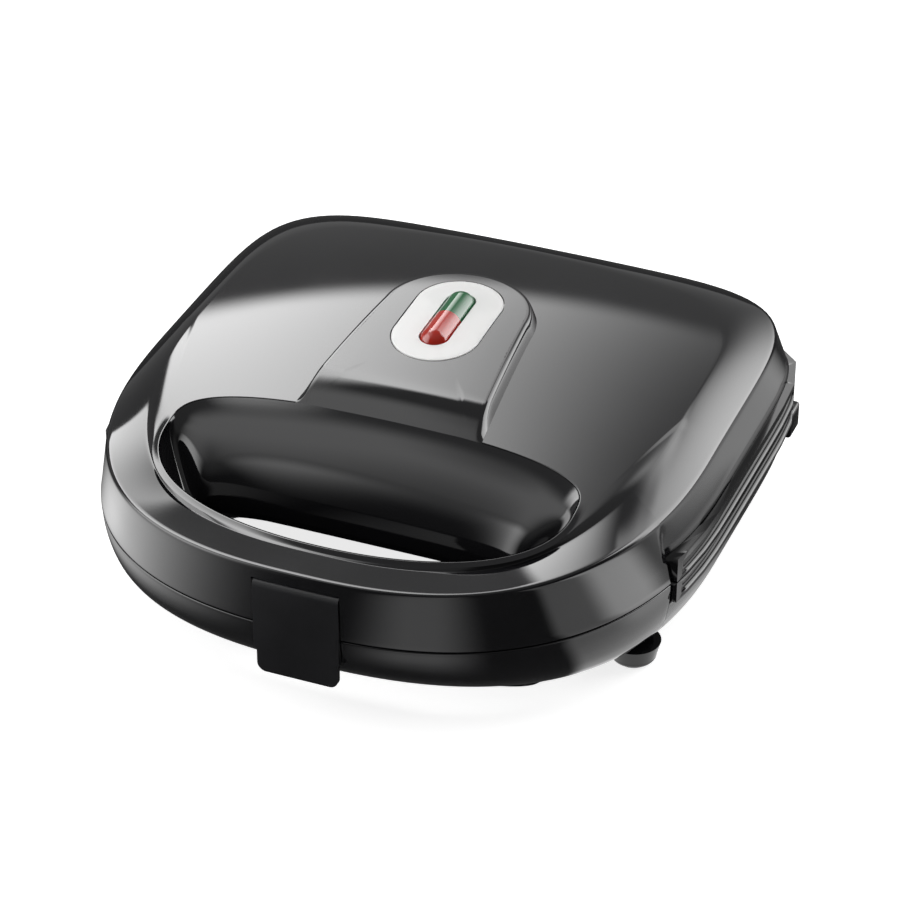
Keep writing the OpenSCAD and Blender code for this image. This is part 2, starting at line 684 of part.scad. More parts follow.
module upper_frame() {
    color([0.05, 0.05, 0.052]) difference() {
        union() {
            translate([0, 0, frame_gap]) frame_body(upper_frame_h, upper_web_lift,
                upper_room(frame_gap + upper_web_lift + web_t), upper_room(upper_frame_h), upper_frame_h,
                gap_line);
            for (p = lid_screw_spots) translate([p[0], p[1], frame_gap + 1])
                cylinder(r = screw_boss_r, h = upper_frame_h - frame_gap - 1);
        }
        // room for the hinge ears
        for (x = ear_spots) translate([x - ear_w / 2 - ear_clear, hinge_y - ear_r - 1.4, -1])
            cube([ear_w + 2 * ear_clear, 30, upper_frame_h + 2]);
        // chamfer that lets the back edge turn past the lower frame
        translate([-200, frame_tail - 2.4, frame_gap]) rotate([35, 0, 0]) translate([0, 0, -10])
            cube([400, 20, 10]);
        hinge_bore(hinge_pin_r + eps, 0.4);
        for (p = lid_screw_spots) translate([p[0], p[1], -1]) {
            cylinder(r = screw_r + screw_clear, h = 20);
            cylinder(r = screw_head_r + screw_clear, h = 1 + frame_gap + screw_head_h + 0.2);
        }
    }
}

module lower_frame() {
    color([0.05, 0.05, 0.052]) difference() {
        union() {
            translate([0, 0, -frame_gap]) mirror([0, 0, 1]) frame_body(lower_frame_h, lower_web_drop,
                lower_room(frame_gap + lower_web_drop + web_t), lower_room(ledge_foot), ledge_foot,
                low_gap_line);
            for (x = ear_spots) translate([x - ear_w / 2, hinge_y, hinge_z]) rotate([0, 90, 0])
                cylinder(r = ear_r, h = ear_w);
            for (x = ear_spots) translate([x - ear_w / 2, hinge_y - ear_r, -frame_gap - 2])
                cube([ear_w, 2 * ear_r, hinge_z + frame_gap + 2]);
            for (p = base_screw_spots) translate([p[0], p[1], post_foot])
                cylinder(r = screw_boss_r, h = -post_foot - frame_gap - lower_web_drop - 0.2);
        }
        for (x = ear_spots) translate([x, hinge_y, hinge_z]) rotate([0, 90, 0])
            cylinder(r = hinge_pin_r + run_clear, h = ear_w + 2, center = true);
        for (p = base_screw_spots) translate([p[0], p[1], post_foot - 1])
            cylinder(r = screw_r, h = base_screw_l - (post_foot - base_seat) + 1.5);
    }
}

module hinge_pins() { color([0.75, 0.76, 0.78]) hinge_bore(hinge_pin_r); }

// ---------- cooking plates ----------
// The four pockets: each sandwich is cut by a diagonal ridge that runs to the outer front corner
cell_w = plate_w / 2 - pocket_margin - ridge_w / 2;
cell_d = plate_d - 2 * pocket_margin;
function tri_inset(v, d) =
    let (n = len(v))
    [for (i = [0:n - 1]) let (a = v[(i + n - 1) % n], b = v[i], c = v[(i + 1) % n],
        u = (b - a) / norm(b - a), w = (c - b) / norm(c - b), s = u[0] * w[1] - u[1] * w[0])
        b + (w - u) * d / s];
function arc_between(c, r, a0, a1, n) = [for (k = [0:n]) let (a = mix(a0, a1, k / n))
    c + r * [cos(a), sin(a)]];
// Rounded triangle: v runs counter-clockwise, r is the corner radius
function round_tri(v, r) =
    let (w = tri_inset(v, r))
    [for (i = [0:2]) let (a = w[(i + 2) % 3], b = w[i], c = w[(i + 1) % 3],
        a0 = atan2(b[1] - a[1], b[0] - a[0]) - 90, a1 = atan2(c[1] - b[1], c[0] - b[0]) - 90)
        each arc_between(b, r, a0, a1 < a0 ? a1 + 360 : a1, 6)];
function cell_tris() =
    let (x0 = ridge_w / 2, x1 = ridge_w / 2 + cell_w, y0 = -cell_d / 2, y1 = cell_d / 2,
         k = ridge_w / 2, diag = norm([cell_w, cell_d]), ux = cell_w / diag, uy = cell_d / diag,
         ex = k / uy, ey = k / ux)
    [[[x0, y0], [x1 - ex, y0], [x0, y1 - ey]], [[x1, y1], [x0 + ex, y1], [x1, y0 + ey]]];

// One pocket as a tapered solid with a rounded floor edge.  skin grows it on all sides.
module pocket(v, skin) {
    face = -skin * 0.2;
    depth = pocket_depth + skin;
    function ring(d, z) = [for (p = round_tri(tri_inset(v, d - skin), max(1.5, pocket_r - d * 0.55 + skin)))
        [p[0], p[1], z]];
    loft_solid([
        ring(0, skin > 0 ? 0.2 : -1), ring(0, skin > 0 ? 0.4 : 0.01),
        ring(pocket_draft * 0.75, depth * 0.75), ring(pocket_draft * 1.25, depth * 0.95),
        ring(pocket_draft * 2, depth)
    ]);
}
module pockets(skin) {
    for (m = [0, 1]) mirror([m, 0, 0]) for (v = cell_tris()) pocket(v, skin);
}
module cooking_plate() {
    difference() {
        union() {
            linear_extrude(plate_t) rounded_plan(plate_w, plate_d, plate_r);
            pockets(pocket_wall);
            for (x = [-clamp_x, clamp_x]) translate([x, 0, 1]) cylinder(r = 3, h = clamp_z - 1);
        }
        pockets(0);
        for (x = [-clamp_x, clamp_x]) translate([x, 0, plate_t + 1])
            cylinder(r = screw_r, h = clamp_z);
        for (p = plate_screw_spots) translate([p[0], p[1], plate_t - 2])
            cylinder(r = screw_r, h = 3);
    }
}
// Heights above the plate face
heater_z = pocket_depth + pocket_wall + heater_r + 0.02;
clamp_z = heater_z + heater_r + 0.02;
plate_screw_spots = [for (x = [-1, 1], y = [-1, 1]) [x * (plate_w / 2 - 3.8), y * 36]];

module upper_place() { translate([0, plate_y, plate_gap]) children(); }
module lower_place() { translate([0, plate_y, -plate_gap]) mirror([0, 0, 1]) children(); }

module heater() {
    translate([0, 0, heater_z]) {
        for (s = [-1, 1]) translate([-heater_leg / 2, s * heater_pitch / 2, 0]) rotate([0, 90, 0]) {
            cylinder(r = heater_r, h = heater_leg);
            translate([0, 0, heater_leg - eps]) cylinder(r = pin_r, h = cold_pin_l + eps);
        }
        translate([-heater_leg / 2, 0, 0]) rotate([0, 0, 90])
            rotate_extrude(angle = 180) translate([heater_pitch / 2, 0]) circle(r = heater_r);
    }
}
module clamps() {
    for (x = [-clamp_x, clamp_x]) translate([x, 0, clamp_z]) difference() {
        translate([-clamp_w / 2, -heater_pitch / 2 - 8, 0]) cube([clamp_w, heater_pitch + 16, clamp_t]);
        translate([0, 0, -1]) cylinder(r = screw_r + screw_clear, h = 4);
    }
}
module clamp_screws() {
    for (x = [-clamp_x, clamp_x]) translate([x, 0, clamp_z]) {
        translate([0, 0, clamp_t]) cylinder(r = screw_head_r, h = screw_head_h);
        translate([0, 0, -6]) cylinder(r = screw_r - eps, h = 6 + clamp_t + 0.5);
    }
    for (p = plate_screw_spots) translate([p[0], p[1], plate_t + ledge_t]) {
        cylinder(r = screw_head_r, h = screw_head_h);
        translate([0, 0, -ledge_t - 1.9]) cylinder(r = screw_r - eps, h = ledge_t + 1.9 + 0.5);
    }
}
shield_z = clamp_z + clamp_t + screw_head_h;
shield_back = plate_d / 2 - 5;
module heat_shield() {
    translate([0, 0, shield_z]) linear_extrude(shield_t)
        translate([0, shield_back - shield_d / 2]) rounded_plan(shield_w, shield_d, 10);
    // folded lips that stand on the back of the plate rim
    for (s = [-1, 1]) translate([s * (shield_w / 2 - 20) - 10, shield_back - shield_t, plate_t])
        cube([20, shield_t, shield_z - plate_t + 0.1]);
}

module upper_plate() { color([0.11, 0.11, 0.115]) upper_place() cooking_plate(); }
module lower_plate() { color([0.11, 0.11, 0.115]) lower_place() cooking_plate(); }
module upper_heater() { color([0.45, 0.45, 0.46]) upper_place() heater(); }
module lower_heater() { color([0.45, 0.45, 0.46]) lower_place() heater(); }
module upper_clamps() { color([0.7, 0.7, 0.72]) upper_place() clamps(); }
module lower_clamps() { color([0.7, 0.7, 0.72]) lower_place() clamps(); }
module upper_plate_screws() { color([0.75, 0.76, 0.78]) upper_place() clamp_screws(); }
module lower_plate_screws() { color([0.75, 0.76, 0.78]) lower_place() clamp_screws(); }
module upper_heat_shield() { color([0.8, 0.8, 0.82]) upper_place() heat_shield(); }
module lower_heat_shield() { color([0.8, 0.8, 0.82]) lower_place() heat_shield(); }

module lid_screws() {
    color([0.75, 0.76, 0.78]) for (p = lid_screw_spots) translate([p[0], p[1], frame_gap + 0.2]) {
        cylinder(r = screw_head_r, h = screw_head_h);
        translate([0, 0, eps]) cylinder(r = screw_r - eps, h = upper_frame_h + 7);
    }
}

// ---------- latch ----------
module latch_pin_shape(r, extra) {
    l = 2 * (latch_half_w + latch_clear + latch_pin_seat + extra);
    translate([-l / 2, latch_y, latch_z]) rotate([0, 90, 0]) cylinder(r = r, h = l);
}
module latch_pin() { color([0.75, 0.76, 0.78]) latch_pin_shape(latch_pin_r - eps, -0.1); }

tab_step = 0.8;
module latch_clip() {
    front = latch_y - knuckle_r;
    color([0.08, 0.08, 0.082]) difference() {
        union() {
            translate([-latch_half_w, latch_y, latch_z]) rotate([0, 90, 0])
                cylinder(r = knuckle_r, h = 2 * latch_half_w);
            translate([-latch_half_w, front, -latch_drop])
                cube([2 * latch_half_w, latch_t, latch_drop + latch_z]);
            // finger tab with rounded lower corners
            translate([0, front + tab_step + latch_t - 0.4, 0]) rotate([90, 0, 0])
                linear_extrude(latch_t - 0.4) union() {
                    translate([-tab_half_w, -tab_drop + tab_r])
                        square([2 * tab_half_w, tab_drop - tab_r - 4]);
                    translate([-tab_half_w + tab_r, -tab_drop])
                        square([2 * (tab_half_w - tab_r), tab_r + 1]);
                    for (s = [-1, 1]) translate([s * (tab_half_w - tab_r), -tab_drop + tab_r])
                        circle(r = tab_r);
                }
            // nib that seats under the catch edge of the base
            translate([-latch_half_w + 4, 0, 0]) rotate([90, 0, 90])
                linear_extrude(2 * latch_half_w - 8) polygon([
                    [front + latch_t - 0.5, -latch_drop + 1.5], [front + latch_t, -latch_drop + 1.5],
                    [front + latch_t + nib_l, -latch_drop - 0.4], [front + latch_t + nib_l, -latch_drop - 1.6],
                    [front + latch_t - 0.5, -latch_drop - 2.6]
                ]);
        }
        translate([-latch_half_w - 1, latch_y, latch_z]) rotate([0, 90, 0])
            cylinder(r = latch_pin_r + run_clear, h = 2 * latch_half_w + 2);
    }
}

// ---------- base cover ----------
// Each level: [share of the depth, inset at the sides, inset at the nose, inset at the back]
base_levels = [
    [0.00, 0.0, 0.0, 0.0], [0.22, 0.4, 1.0, 0.2], [0.40, 1.2, 2.6, 0.6], [0.58, 2.6, 5.2, 1.3],
    [0.76, 4.8, 10.2, 2.6], [0.90, 8.4, 16.2, 5.0], [0.98, 13.5, 21.0, 8.5]
];
function column(k) = [for (l = base_levels) [l[0], l[k]]];
function level_at(f) = [f, lookup(f, column(1)), lookup(f, column(2)), lookup(f, column(3))];
function level_line(l) = [body_half_w - l[1], 0, tail_reach - l[3], nose_reach - l[2], tail_power, nose_power];
// Beside the frames the profile starts at the foot of the lower frame
frame_share = lower_frame_h / base_depth;
function base_ring(f, inset, lift) = [for (t = dirs)
    let (g = beside_frame(t) ? mix(frame_share, 1, f) : f,
         p = on_line(grow(level_line(level_at(g)), -inset), t),
         q = on_line(level_line(base_levels[6]), t))
    [p[0], p[1], max(mix(-seam_gap, chin_z(q), g), chin_z(q) + lift)]];
function floor_ring(f, scoop, lift) = [for (t = dirs)
    let (a = on_line(grow(level_line(base_levels[6]), -3), t),
         b = on_line(scoop, t), p = mix(a, b, f))
    [p[0], p[1], chin_z(p) + lift]];
// The hidden side of the scoop grows by d at the sides and the back
function behind(o, d) = [o[0] + d, o[1], o[2] + d, o[3] + insert_wall, o[4], o[5]];
scoop_back_wall = 3;

gap_top = -frame_gap - lower_web_drop - web_t - 0.1;
function base_gap_ring(o) = [for (p = outline(o)) [p[0], p[1], gap_top]];
base_steps = [for (l = base_levels) l[0]];
base_rings = concat(
    [base_gap_ring(behind(low_gap_line, scoop_back_wall)), base_gap_ring(low_gap_line)],
    [floor_ring(1, scoop_line, 0), floor_ring(0.5, scoop_line, 0), floor_ring(0, scoop_line, 0)],
    [for (i = [6:-1:0]) base_ring(base_steps[i], 0, 0)],
    [base_ring(0, wall, 0)],
    [for (i = [1:6]) base_ring(base_steps[i], wall, wall)],
    [for (f = [0, 0.5, 1]) floor_ring(f, behind(scoop_line, scoop_back_wall), wall)]
);

base_screw_spots = [[-84, 93], [84, 93], [-93, -68], [93, -68]];
base_seat = -23;        // height of the screw head seats
base_screw_l = 13;
post_foot = -17;        // where the posts of the lower frame stand on the bosses of the cover
boss_r = 5;
boss_feet = [-29.5, -29.5, -25, -25];
catch_back = latch_y - knuckle_r + latch_t + nib_l + latch_clear;

// Solid behind the nose wall that the latch nib seats under
module catch_block() {
    translate([-block_half_w, 0, 0]) rotate([90, 0, 90]) linear_extrude(2 * block_half_w) polygon([
        [block_back, -frame_gap], [-nose_reach + 1.4, -frame_gap], [-nose_reach + 2.4, -6],
        [-nose_reach + 4, -11], [-nose_reach + 5.8, -14.5], [block_back, -14.5]
    ]);
}
module cleat() {
    x = body_half_w - 5;
    y = tail_reach - 4;
    translate([x - cleat_w, y - 12, -base_depth + 5]) cube([cleat_w, 12, cleat_h]);
}
module base_cover() {
    color([0.05, 0.05, 0.052]) difference() {
        union() {
            loft_loop(base_rings);
            catch_block();
            for (m = [0, 1]) mirror([m, 0, 0]) cleat();
            for (p = foot_spots) translate([p[0], p[1], -base_depth])
                cylinder(r = foot_root_r, h = base_depth + stub_top);
            for (i = [0:3]) translate([base_screw_spots[i][0], base_screw_spots[i][1], boss_feet[i]])
                cylinder(r = boss_r, h = post_foot - boss_feet[i]);
        }
        for (p = foot_spots) translate([p[0], p[1], -base_depth - 1])
            cylinder(r = spigot_r + 0.1, h = 1.2 + spigot_l);
        // seat for the latch
        translate([-latch_half_w - latch_clear, -nose_reach - 10, -30])
            cube([2 * (latch_half_w + latch_clear), nose_reach + 10 + catch_back, 40]);
        for (p = base_screw_spots) translate([p[0], p[1], -base_depth - 1]) {
            cylinder(r = screw_r + screw_clear, h = base_depth + 2 + post_foot);
            cylinder(r = screw_head_r + screw_clear, h = base_depth + 1 + base_seat);
        }
        translate([bush_x, tail_reach - 20, -bush_z]) rotate([-90, 0, 0])
            cylinder(r = bush_r + 0.1, h = 40);
        // cooling slots in the floor
        for (i = [-5:5]) translate([i * 9 - 1.5, 30, -base_depth - 1]) cube([3, 40, 6]);
    }
}
module base_screws() {
    color([0.75, 0.76, 0.78]) for (p = base_screw_spots) translate([p[0], p[1], base_seat]) {
        translate([0, 0, -screw_head_h]) cylinder(r = screw_head_r, h = screw_head_h);
        translate([0, 0, -0.5]) cylinder(r = screw_r - eps, h = base_screw_l + 0.5);
    }
}

// ---------- feet ----------
foot_spots = [for (x = [-foot_x, foot_x], y = [foot_front_y, foot_rear_y]) [x, y]];
leg_sole = -seam_h + pad_proud;
leg_edge = 2.5;
stub_top = -23.5;
spigot_r = 3;
spigot_l = 4;
module leg() {
    difference() {
        union() {
            rotate_extrude() {
                polygon([
                    [0, -base_depth], [foot_root_r, -base_depth],
                    [foot_r, leg_sole + leg_edge], [foot_r - leg_edge, leg_sole + leg_edge],
                    [foot_r - leg_edge, leg_sole], [0, leg_sole]
                ]);
                intersection() {
                    translate([foot_r - leg_edge, leg_sole + leg_edge]) circle(r = leg_edge);
                    translate([0, leg_sole - 1]) square([foot_r + 1, 2 * leg_edge]);
                }
            }
            translate([0, 0, -base_depth - 1]) cylinder(r = spigot_r, h = spigot_l + 1);
        }
        translate([0, 0, leg_sole - 1]) cylinder(r = pad_r + 0.1, h = 1 + pad_t - pad_proud);
    }
}
module feet() {
    color([0.05, 0.05, 0.052]) for (p = foot_spots) translate([p[0], p[1], 0]) leg();
}
module foot_pads() {
    color([0.12, 0.12, 0.12]) for (p = foot_spots) translate([p[0], p[1], -seam_h])
        cylinder(r = pad_r, h = pad_t);
}

// ---------- cord inlet and wiring ----------
bush_in = 9;
module cord_inlet_bush() {
    color([0.07, 0.07, 0.07]) translate([bush_x, tail_reach, -bush_z]) rotate([-90, 0, 0]) difference() {
        union() {
            translate([0, 0, -bush_in]) cylinder(r = bush_r, h = bush_in + bush_out);
            translate([0, 0, -bush_in]) cylinder(r = bush_r + 2, h = 1.6);
            translate([0, 0, -0.05]) cylinder(r = bush_r + 1.5, h = 1.6);
        }
        translate([0, 0, -bush_in - 1]) cylinder(r = cord_bore_r, h = bush_in + bush_out + 2);
    }
}

block_w = 28;
block_d = 12;
block_h = 10;
block_y = 88;
lead_r = 1;
lead_z = -21.5;
module terminal_block() {
    color([0.88, 0.88, 0.84]) difference() {
        translate([bush_x - block_w / 2, block_y, -base_depth + wall])
            cube([block_w, block_d, block_h]);
        for (i = [-1:1]) translate([bush_x + i * 9, block_y - 1, lead_z]) rotate([-90, 0, 0])
            cylinder(r = 1.8, h = block_d + 2);
    }
}

// Round wire through a list of points
module lead(points) {
    for (i = [0:len(points) - 2]) {
        a = points[i];
        d = points[i + 1] - a;
        translate(a) rotate([0, acos(d[2] / norm(d)), atan2(d[1], d[0])]) cylinder(r = lead_r, h = norm(d));
    }
    for (i = [1:len(points) - 2]) translate(points[i]) sphere(r = lead_r);
}
pin_end = heater_leg / 2 + cold_pin_l;
pin_z = -plate_gap - heater_z;
module internal_leads() {
    color([0.7, 0.1, 0.1]) {
        lead([
            [bush_x, block_y + 8, lead_z], [bush_x, block_y - 5, lead_z], [94, block_y - 5, lead_z],
            [94, plate_y + heater_pitch / 2, lead_z], [94, plate_y + heater_pitch / 2, pin_z],
            [pin_end, plate_y + heater_pitch / 2, pin_z]
        ]);
        lead([
            [bush_x + 9, block_y + 8, lead_z], [bush_x + 9, block_y - 2, lead_z],
            [98, block_y - 2, lead_z], [98, plate_y - heater_pitch / 2, lead_z],
            [98, plate_y - heater_pitch / 2, pin_z], [pin_end, plate_y - heater_pitch / 2, pin_z]
        ]);
    }
}

// Switch disc and fuse clipped to the outside of the lower heat shield
under_shield = -plate_gap - shield_z - shield_t;
module thermostat() {
    color([0.8, 0.78, 0.72]) translate([28, plate_y + 20, under_shield]) mirror([0, 0, 1]) {
        cylinder(r = 8, h = 3.6);
        translate([-12, -3, 0]) cube([24, 6, 1]);
        for (s = [-1, 1]) translate([s * 4 - 1.5, -11, 1.4]) cube([3, 22, 0.8]);
    }
}
module thermal_fuse() {
    color([0.8, 0.8, 0.8]) translate([-30, plate_y + 20, under_shield - 2]) rotate([0, 90, 0]) {
        cylinder(r = 2, h = 13, center = true);
        cylinder(r = 0.5, h = 30, center = true);
    }
    color([0.8, 0.8, 0.8]) translate([-34, plate_y + 17, under_shield - 0.8]) cube([8, 6, 0.8]);
}

at_seam() lid_cover();
at_seam() handle_insert();
at_seam() indicator_bezel();
at_seam() green_lens();
at_seam() red_lens();
at_seam() lamp_holder();
at_seam() neon_lamps();
at_seam() holder_screws();
at_seam() upper_frame();
at_seam() upper_plate();
at_seam() upper_heater();
at_seam() upper_clamps();
at_seam() upper_plate_screws();
at_seam() upper_heat_shield();
at_seam() lid_screws();
at_seam() hinge_pins();
at_seam() latch_pin();
at_seam() latch_clip();
at_seam() base_cover();
at_seam() lower_frame();
at_seam() lower_plate();
at_seam() lower_heater();
at_seam() lower_clamps();
at_seam() lower_plate_screws();
at_seam() lower_heat_shield();
at_seam() base_screws();
at_seam() feet();
at_seam() foot_pads();
at_seam() cord_inlet_bush();
at_seam() terminal_block();
at_seam() thermostat();
at_seam() thermal_fuse();
at_seam() internal_leads();
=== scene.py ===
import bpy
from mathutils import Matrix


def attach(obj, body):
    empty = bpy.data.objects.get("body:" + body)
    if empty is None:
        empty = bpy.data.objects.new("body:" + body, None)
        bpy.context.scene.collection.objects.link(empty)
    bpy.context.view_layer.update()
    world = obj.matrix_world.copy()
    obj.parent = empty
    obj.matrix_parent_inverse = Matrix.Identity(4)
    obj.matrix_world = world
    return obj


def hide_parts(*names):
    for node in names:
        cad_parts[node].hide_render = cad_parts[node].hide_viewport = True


bl_info = {
    "name": "Sandwich Toaster",
    "version": (1, 0, 0),
    "blender": (4, 5, 0),
    "location": "3D View > Sidebar > Toaster",
    "description": "Dresses the packed frame of a two-slice sandwich toaster with moulded shells, lenses and finishes",
    "category": "Object",
}

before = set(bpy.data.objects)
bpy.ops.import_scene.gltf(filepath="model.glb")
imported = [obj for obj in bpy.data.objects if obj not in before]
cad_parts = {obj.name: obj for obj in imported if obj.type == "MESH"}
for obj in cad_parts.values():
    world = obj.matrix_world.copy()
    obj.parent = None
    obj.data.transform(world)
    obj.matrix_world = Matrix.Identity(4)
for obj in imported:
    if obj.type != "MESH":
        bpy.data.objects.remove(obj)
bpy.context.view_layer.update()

import math

import bmesh
import bpy
import numpy as np
from bpy.props import FloatProperty, FloatVectorProperty, PointerProperty
from mathutils import Vector

# Lengths below are in metres in the seam frame: z = 0 on the parting plane of lid and base.
SEAM_Y = 0.0045
SEAM_Z = 0.040


# ---------------------------------------------------------------- outlines
def grow(line, by):
    """An outline is (half width, y centre, reach back, reach to the nose, back power, nose power)."""
    return (line[0] + by, line[1], line[2] + by, line[3] + by, line[4], line[5])


def mix(a, b, f):
    return a + (b - a) * f


def on_line(line, turn):
    """Points of an outline in the directions turn, in radians, as an n by 2 array."""
    c, s = np.cos(turn), np.sin(turn)
    power = np.where(s >= 0, line[4], line[5])
    reach = 1.0 / (np.abs(c) ** power + np.abs(s) ** power) ** (1.0 / power)
    return np.stack([line[0] * c * reach, line[1] + np.where(s >= 0, line[2], line[3]) * s * reach], 1)


def with_z(plan, z):
    return np.column_stack([plan, np.broadcast_to(z, len(plan))])


def round_corner(before, corner, after, count):
    """Rings that turn softly from one ring to another round a corner ring."""
    return [before * (1 - u) ** 2 + corner * 2 * u * (1 - u) + after * u * u
            for u in np.linspace(0, 1, count)]


# ---------------------------------------------------------------- settings
class ToasterShape(bpy.types.PropertyGroup):
    half_width: FloatProperty(name="Half width", description="Half width of the body at the seam",
                              default=0.1173, unit="LENGTH")
    nose_reach: FloatProperty(name="Nose reach", description="Reach of the nose at the seam",
                              default=0.1276, unit="LENGTH")
    tail_reach: FloatProperty(name="Tail reach", description="Reach of the back at the seam",
                              default=0.1129, unit="LENGTH")
    crown_height: FloatProperty(name="Crown height", description="Height of the lid crown over the seam",
                                default=0.0442, unit="LENGTH")
    crease_height: FloatProperty(name="Crease height", description="Height of the crease line over the seam",
                                 default=0.0266, unit="LENGTH")
    base_depth: FloatProperty(name="Base depth", description="Depth of the base cover under the seam",
                              default=0.031, unit="LENGTH")
    wall: FloatProperty(name="Wall", description="Wall thickness of the covers",
                        default=0.0024, unit="LENGTH")
    crease_round: FloatProperty(name="Crease rounding", description="Length over which the crease is rounded",
                                default=0.0022, unit="LENGTH")


class ToasterFinish(bpy.types.PropertyGroup):
    housing: FloatVectorProperty(name="Housing", description="Colour of the moulded housing", subtype="COLOR",
                                 size=3, default=(0.0075, 0.0075, 0.0085))
    bezel: FloatVectorProperty(name="Bezel", description="Colour of the oval lamp bezel", subtype="COLOR",
                               size=3, default=(0.80, 0.80, 0.79))
    green: FloatVectorProperty(name="Green lens", description="Colour of the green lens half", subtype="COLOR",
                               size=3, default=(0.009, 0.18, 0.055))
    red: FloatVectorProperty(name="Red lens", description="Colour of the red lens half", subtype="COLOR",
                             size=3, default=(0.66, 0.035, 0.02))


class ToasterStage(bpy.types.PropertyGroup):
    soft_share: FloatProperty(name="Soft share", description="Share of the softboxes that matt surfaces receive",
                              default=0.33, min=0.0, max=1.0, subtype="FACTOR")
    focal: FloatProperty(name="Focal length", description="Lens of the camera in millimetres", default=137.12,
                         subtype="DISTANCE_CAMERA")


def shape():
    return bpy.context.scene.toaster_shape


def colours():
    return bpy.context.scene.toaster_finish


def lines():
    """The outlines that the covers and the lining share."""
    s = shape()
    return {
        "seam": (s.half_width, 0, s.tail_reach, s.nose_reach, 7.4, 2.46),
        "cove": (s.half_width - 0.0022, 0, s.tail_reach, s.nose_reach, 7.4, 2.3),
        "crease": (0.1115, 0, 0.1134, 0.1289, 5.7, 2.55),
        "plateau": (0.098, 0, 0.088, 0.1118, 4.6, 2.55),
        "rim": (0.0794, -0.0653, 0.0213, 0.0433, 3.8, 2.1),
        "gap": (0.062, -0.084, 0.010, 0.018, 5, 2.3),
        "low_gap": (0.0625, -0.084, 0.0234, 0.018, 5, 2.3),
        "scoop": (0.076, -0.084, 0.060, 0.017, 8, 2.3),
    }


def crown(p):
    return shape().crown_height + 0.064 * p[:, 1] - 1.1 * p[:, 1] ** 2 - 0.8 * p[:, 0] ** 2


def crease_z(p):
    return shape().crease_height + 0.012 * p[:, 1]


def chin_z(p):
    return -shape().base_depth + np.minimum(0, p[:, 1] + 0.045) ** 2


# ---------------------------------------------------------------- mesh helpers
def new_piece(name, bm, sharp=40.0):
    """Turns a bmesh in the seam frame into a piece in the frame of the model."""
    bmesh.ops.translate(bm, verts=bm.verts, vec=(0, SEAM_Y, SEAM_Z))
    bmesh.ops.recalc_face_normals(bm, faces=bm.faces)
    mesh = bpy.data.meshes.new(name)
    bm.to_mesh(mesh)
    bm.free()
    for face in mesh.polygons:
        face.use_smooth = True
    mesh.set_sharp_from_angle(angle=math.radians(sharp))
    piece = bpy.data.objects.new(name, mesh)
    bpy.context.scene.collection.objects.link(piece)
    return piece


def loft(rings, tube=False, caps=True):
    """A skin over rings of equal length; tube joins the last ring to the first."""
    bm = bmesh.new()
    grid = [[bm.verts.new(p) for p in ring] for ring in rings]
    pairs = list(zip(grid, grid[1:]))
    if tube:
        pairs.append((grid[-1], grid[0]))
    for low, high in pairs:
        for j in range(len(low)):
            k = (j + 1) % len(low)
            bm.faces.new((low[j], low[k], high[k], high[j]))
    if caps and not tube:
        bm.faces.new(grid[0][::-1])
        bm.faces.new(grid[-1])
    return bm


def box_bmesh(low, high, bevel=0.0, segments=2):
    bm = bmesh.new()
    bmesh.ops.create_cube(bm, size=1.0)
    mid = [(a + b) / 2 for a, b in zip(low, high)]
    span = [b - a for a, b in zip(low, high)]
    bmesh.ops.scale(bm, verts=bm.verts, vec=span)
    bmesh.ops.translate(bm, verts=bm.verts, vec=mid)
    if bevel:
        bmesh.ops.bevel(bm, geom=bm.edges[:], offset=bevel, segments=segments, affect="EDGES", profile=0.5)
    return bm


def cut_away(piece, cutters, sharp=40.0):
    """Cuts the cutter pieces out of a piece and deletes them."""
    for cutter in cutters:
        cut = piece.modifiers.new("Cut", "BOOLEAN")
        cut.operation = "DIFFERENCE"
        cut.solver = "EXACT"
        cut.object = cutter
    view = bpy.context.evaluated_depsgraph_get()
    mesh = bpy.data.meshes.new_from_object(piece.evaluated_get(view))
    piece.modifiers.clear()
    old = piece.data
    piece.data = mesh
    bpy.data.meshes.remove(old)
    for face in mesh.polygons:
        face.use_smooth = True
    mesh.set_sharp_from_angle(angle=math.radians(sharp))
    for cutter in cutters:
        data = cutter.data
        bpy.data.objects.remove(cutter)
        bpy.data.meshes.remove(data)


def soften(piece, width, segments=2, angle=35.0):
    bevel = piece.modifiers.new("Soft edges", "BEVEL")
    bevel.width = width
    bevel.segments = segments
    bevel.limit_method = "ANGLE"
    bevel.angle_limit = math.radians(angle)
    bevel.harden_normals = True


def settle(piece, body, slot, *stands_for):
    """The piece rides on a body and stands for CAD nodes, which it hides; the slot is not used."""
    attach(piece, body)
    if stands_for:
        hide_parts(*stands_for)


def dress(piece, material):
    piece.data.materials.clear()
    piece.data.materials.append(material)


def dress_node(name, material):
    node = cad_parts[name]
    for part in node.material_slots:
        part.link = "OBJECT"
        part.material = material
    return node


# ---------------------------------------------------------------- shared effects
def group(name, inputs, outputs):
    """A node group with named sockets; returns None if it is there already."""
    if name in bpy.data.node_groups:
        return None
    tree = bpy.data.node_groups.new(name, "ShaderNodeTree")
    for label, kind, default in inputs:
        socket = tree.interface.new_socket(name=label, in_out="INPUT", socket_type=kind)
        if default is not None:
            socket.default_value = default
    for label, kind in outputs:
        tree.interface.new_socket(name=label, in_out="OUTPUT", socket_type=kind)
    return tree


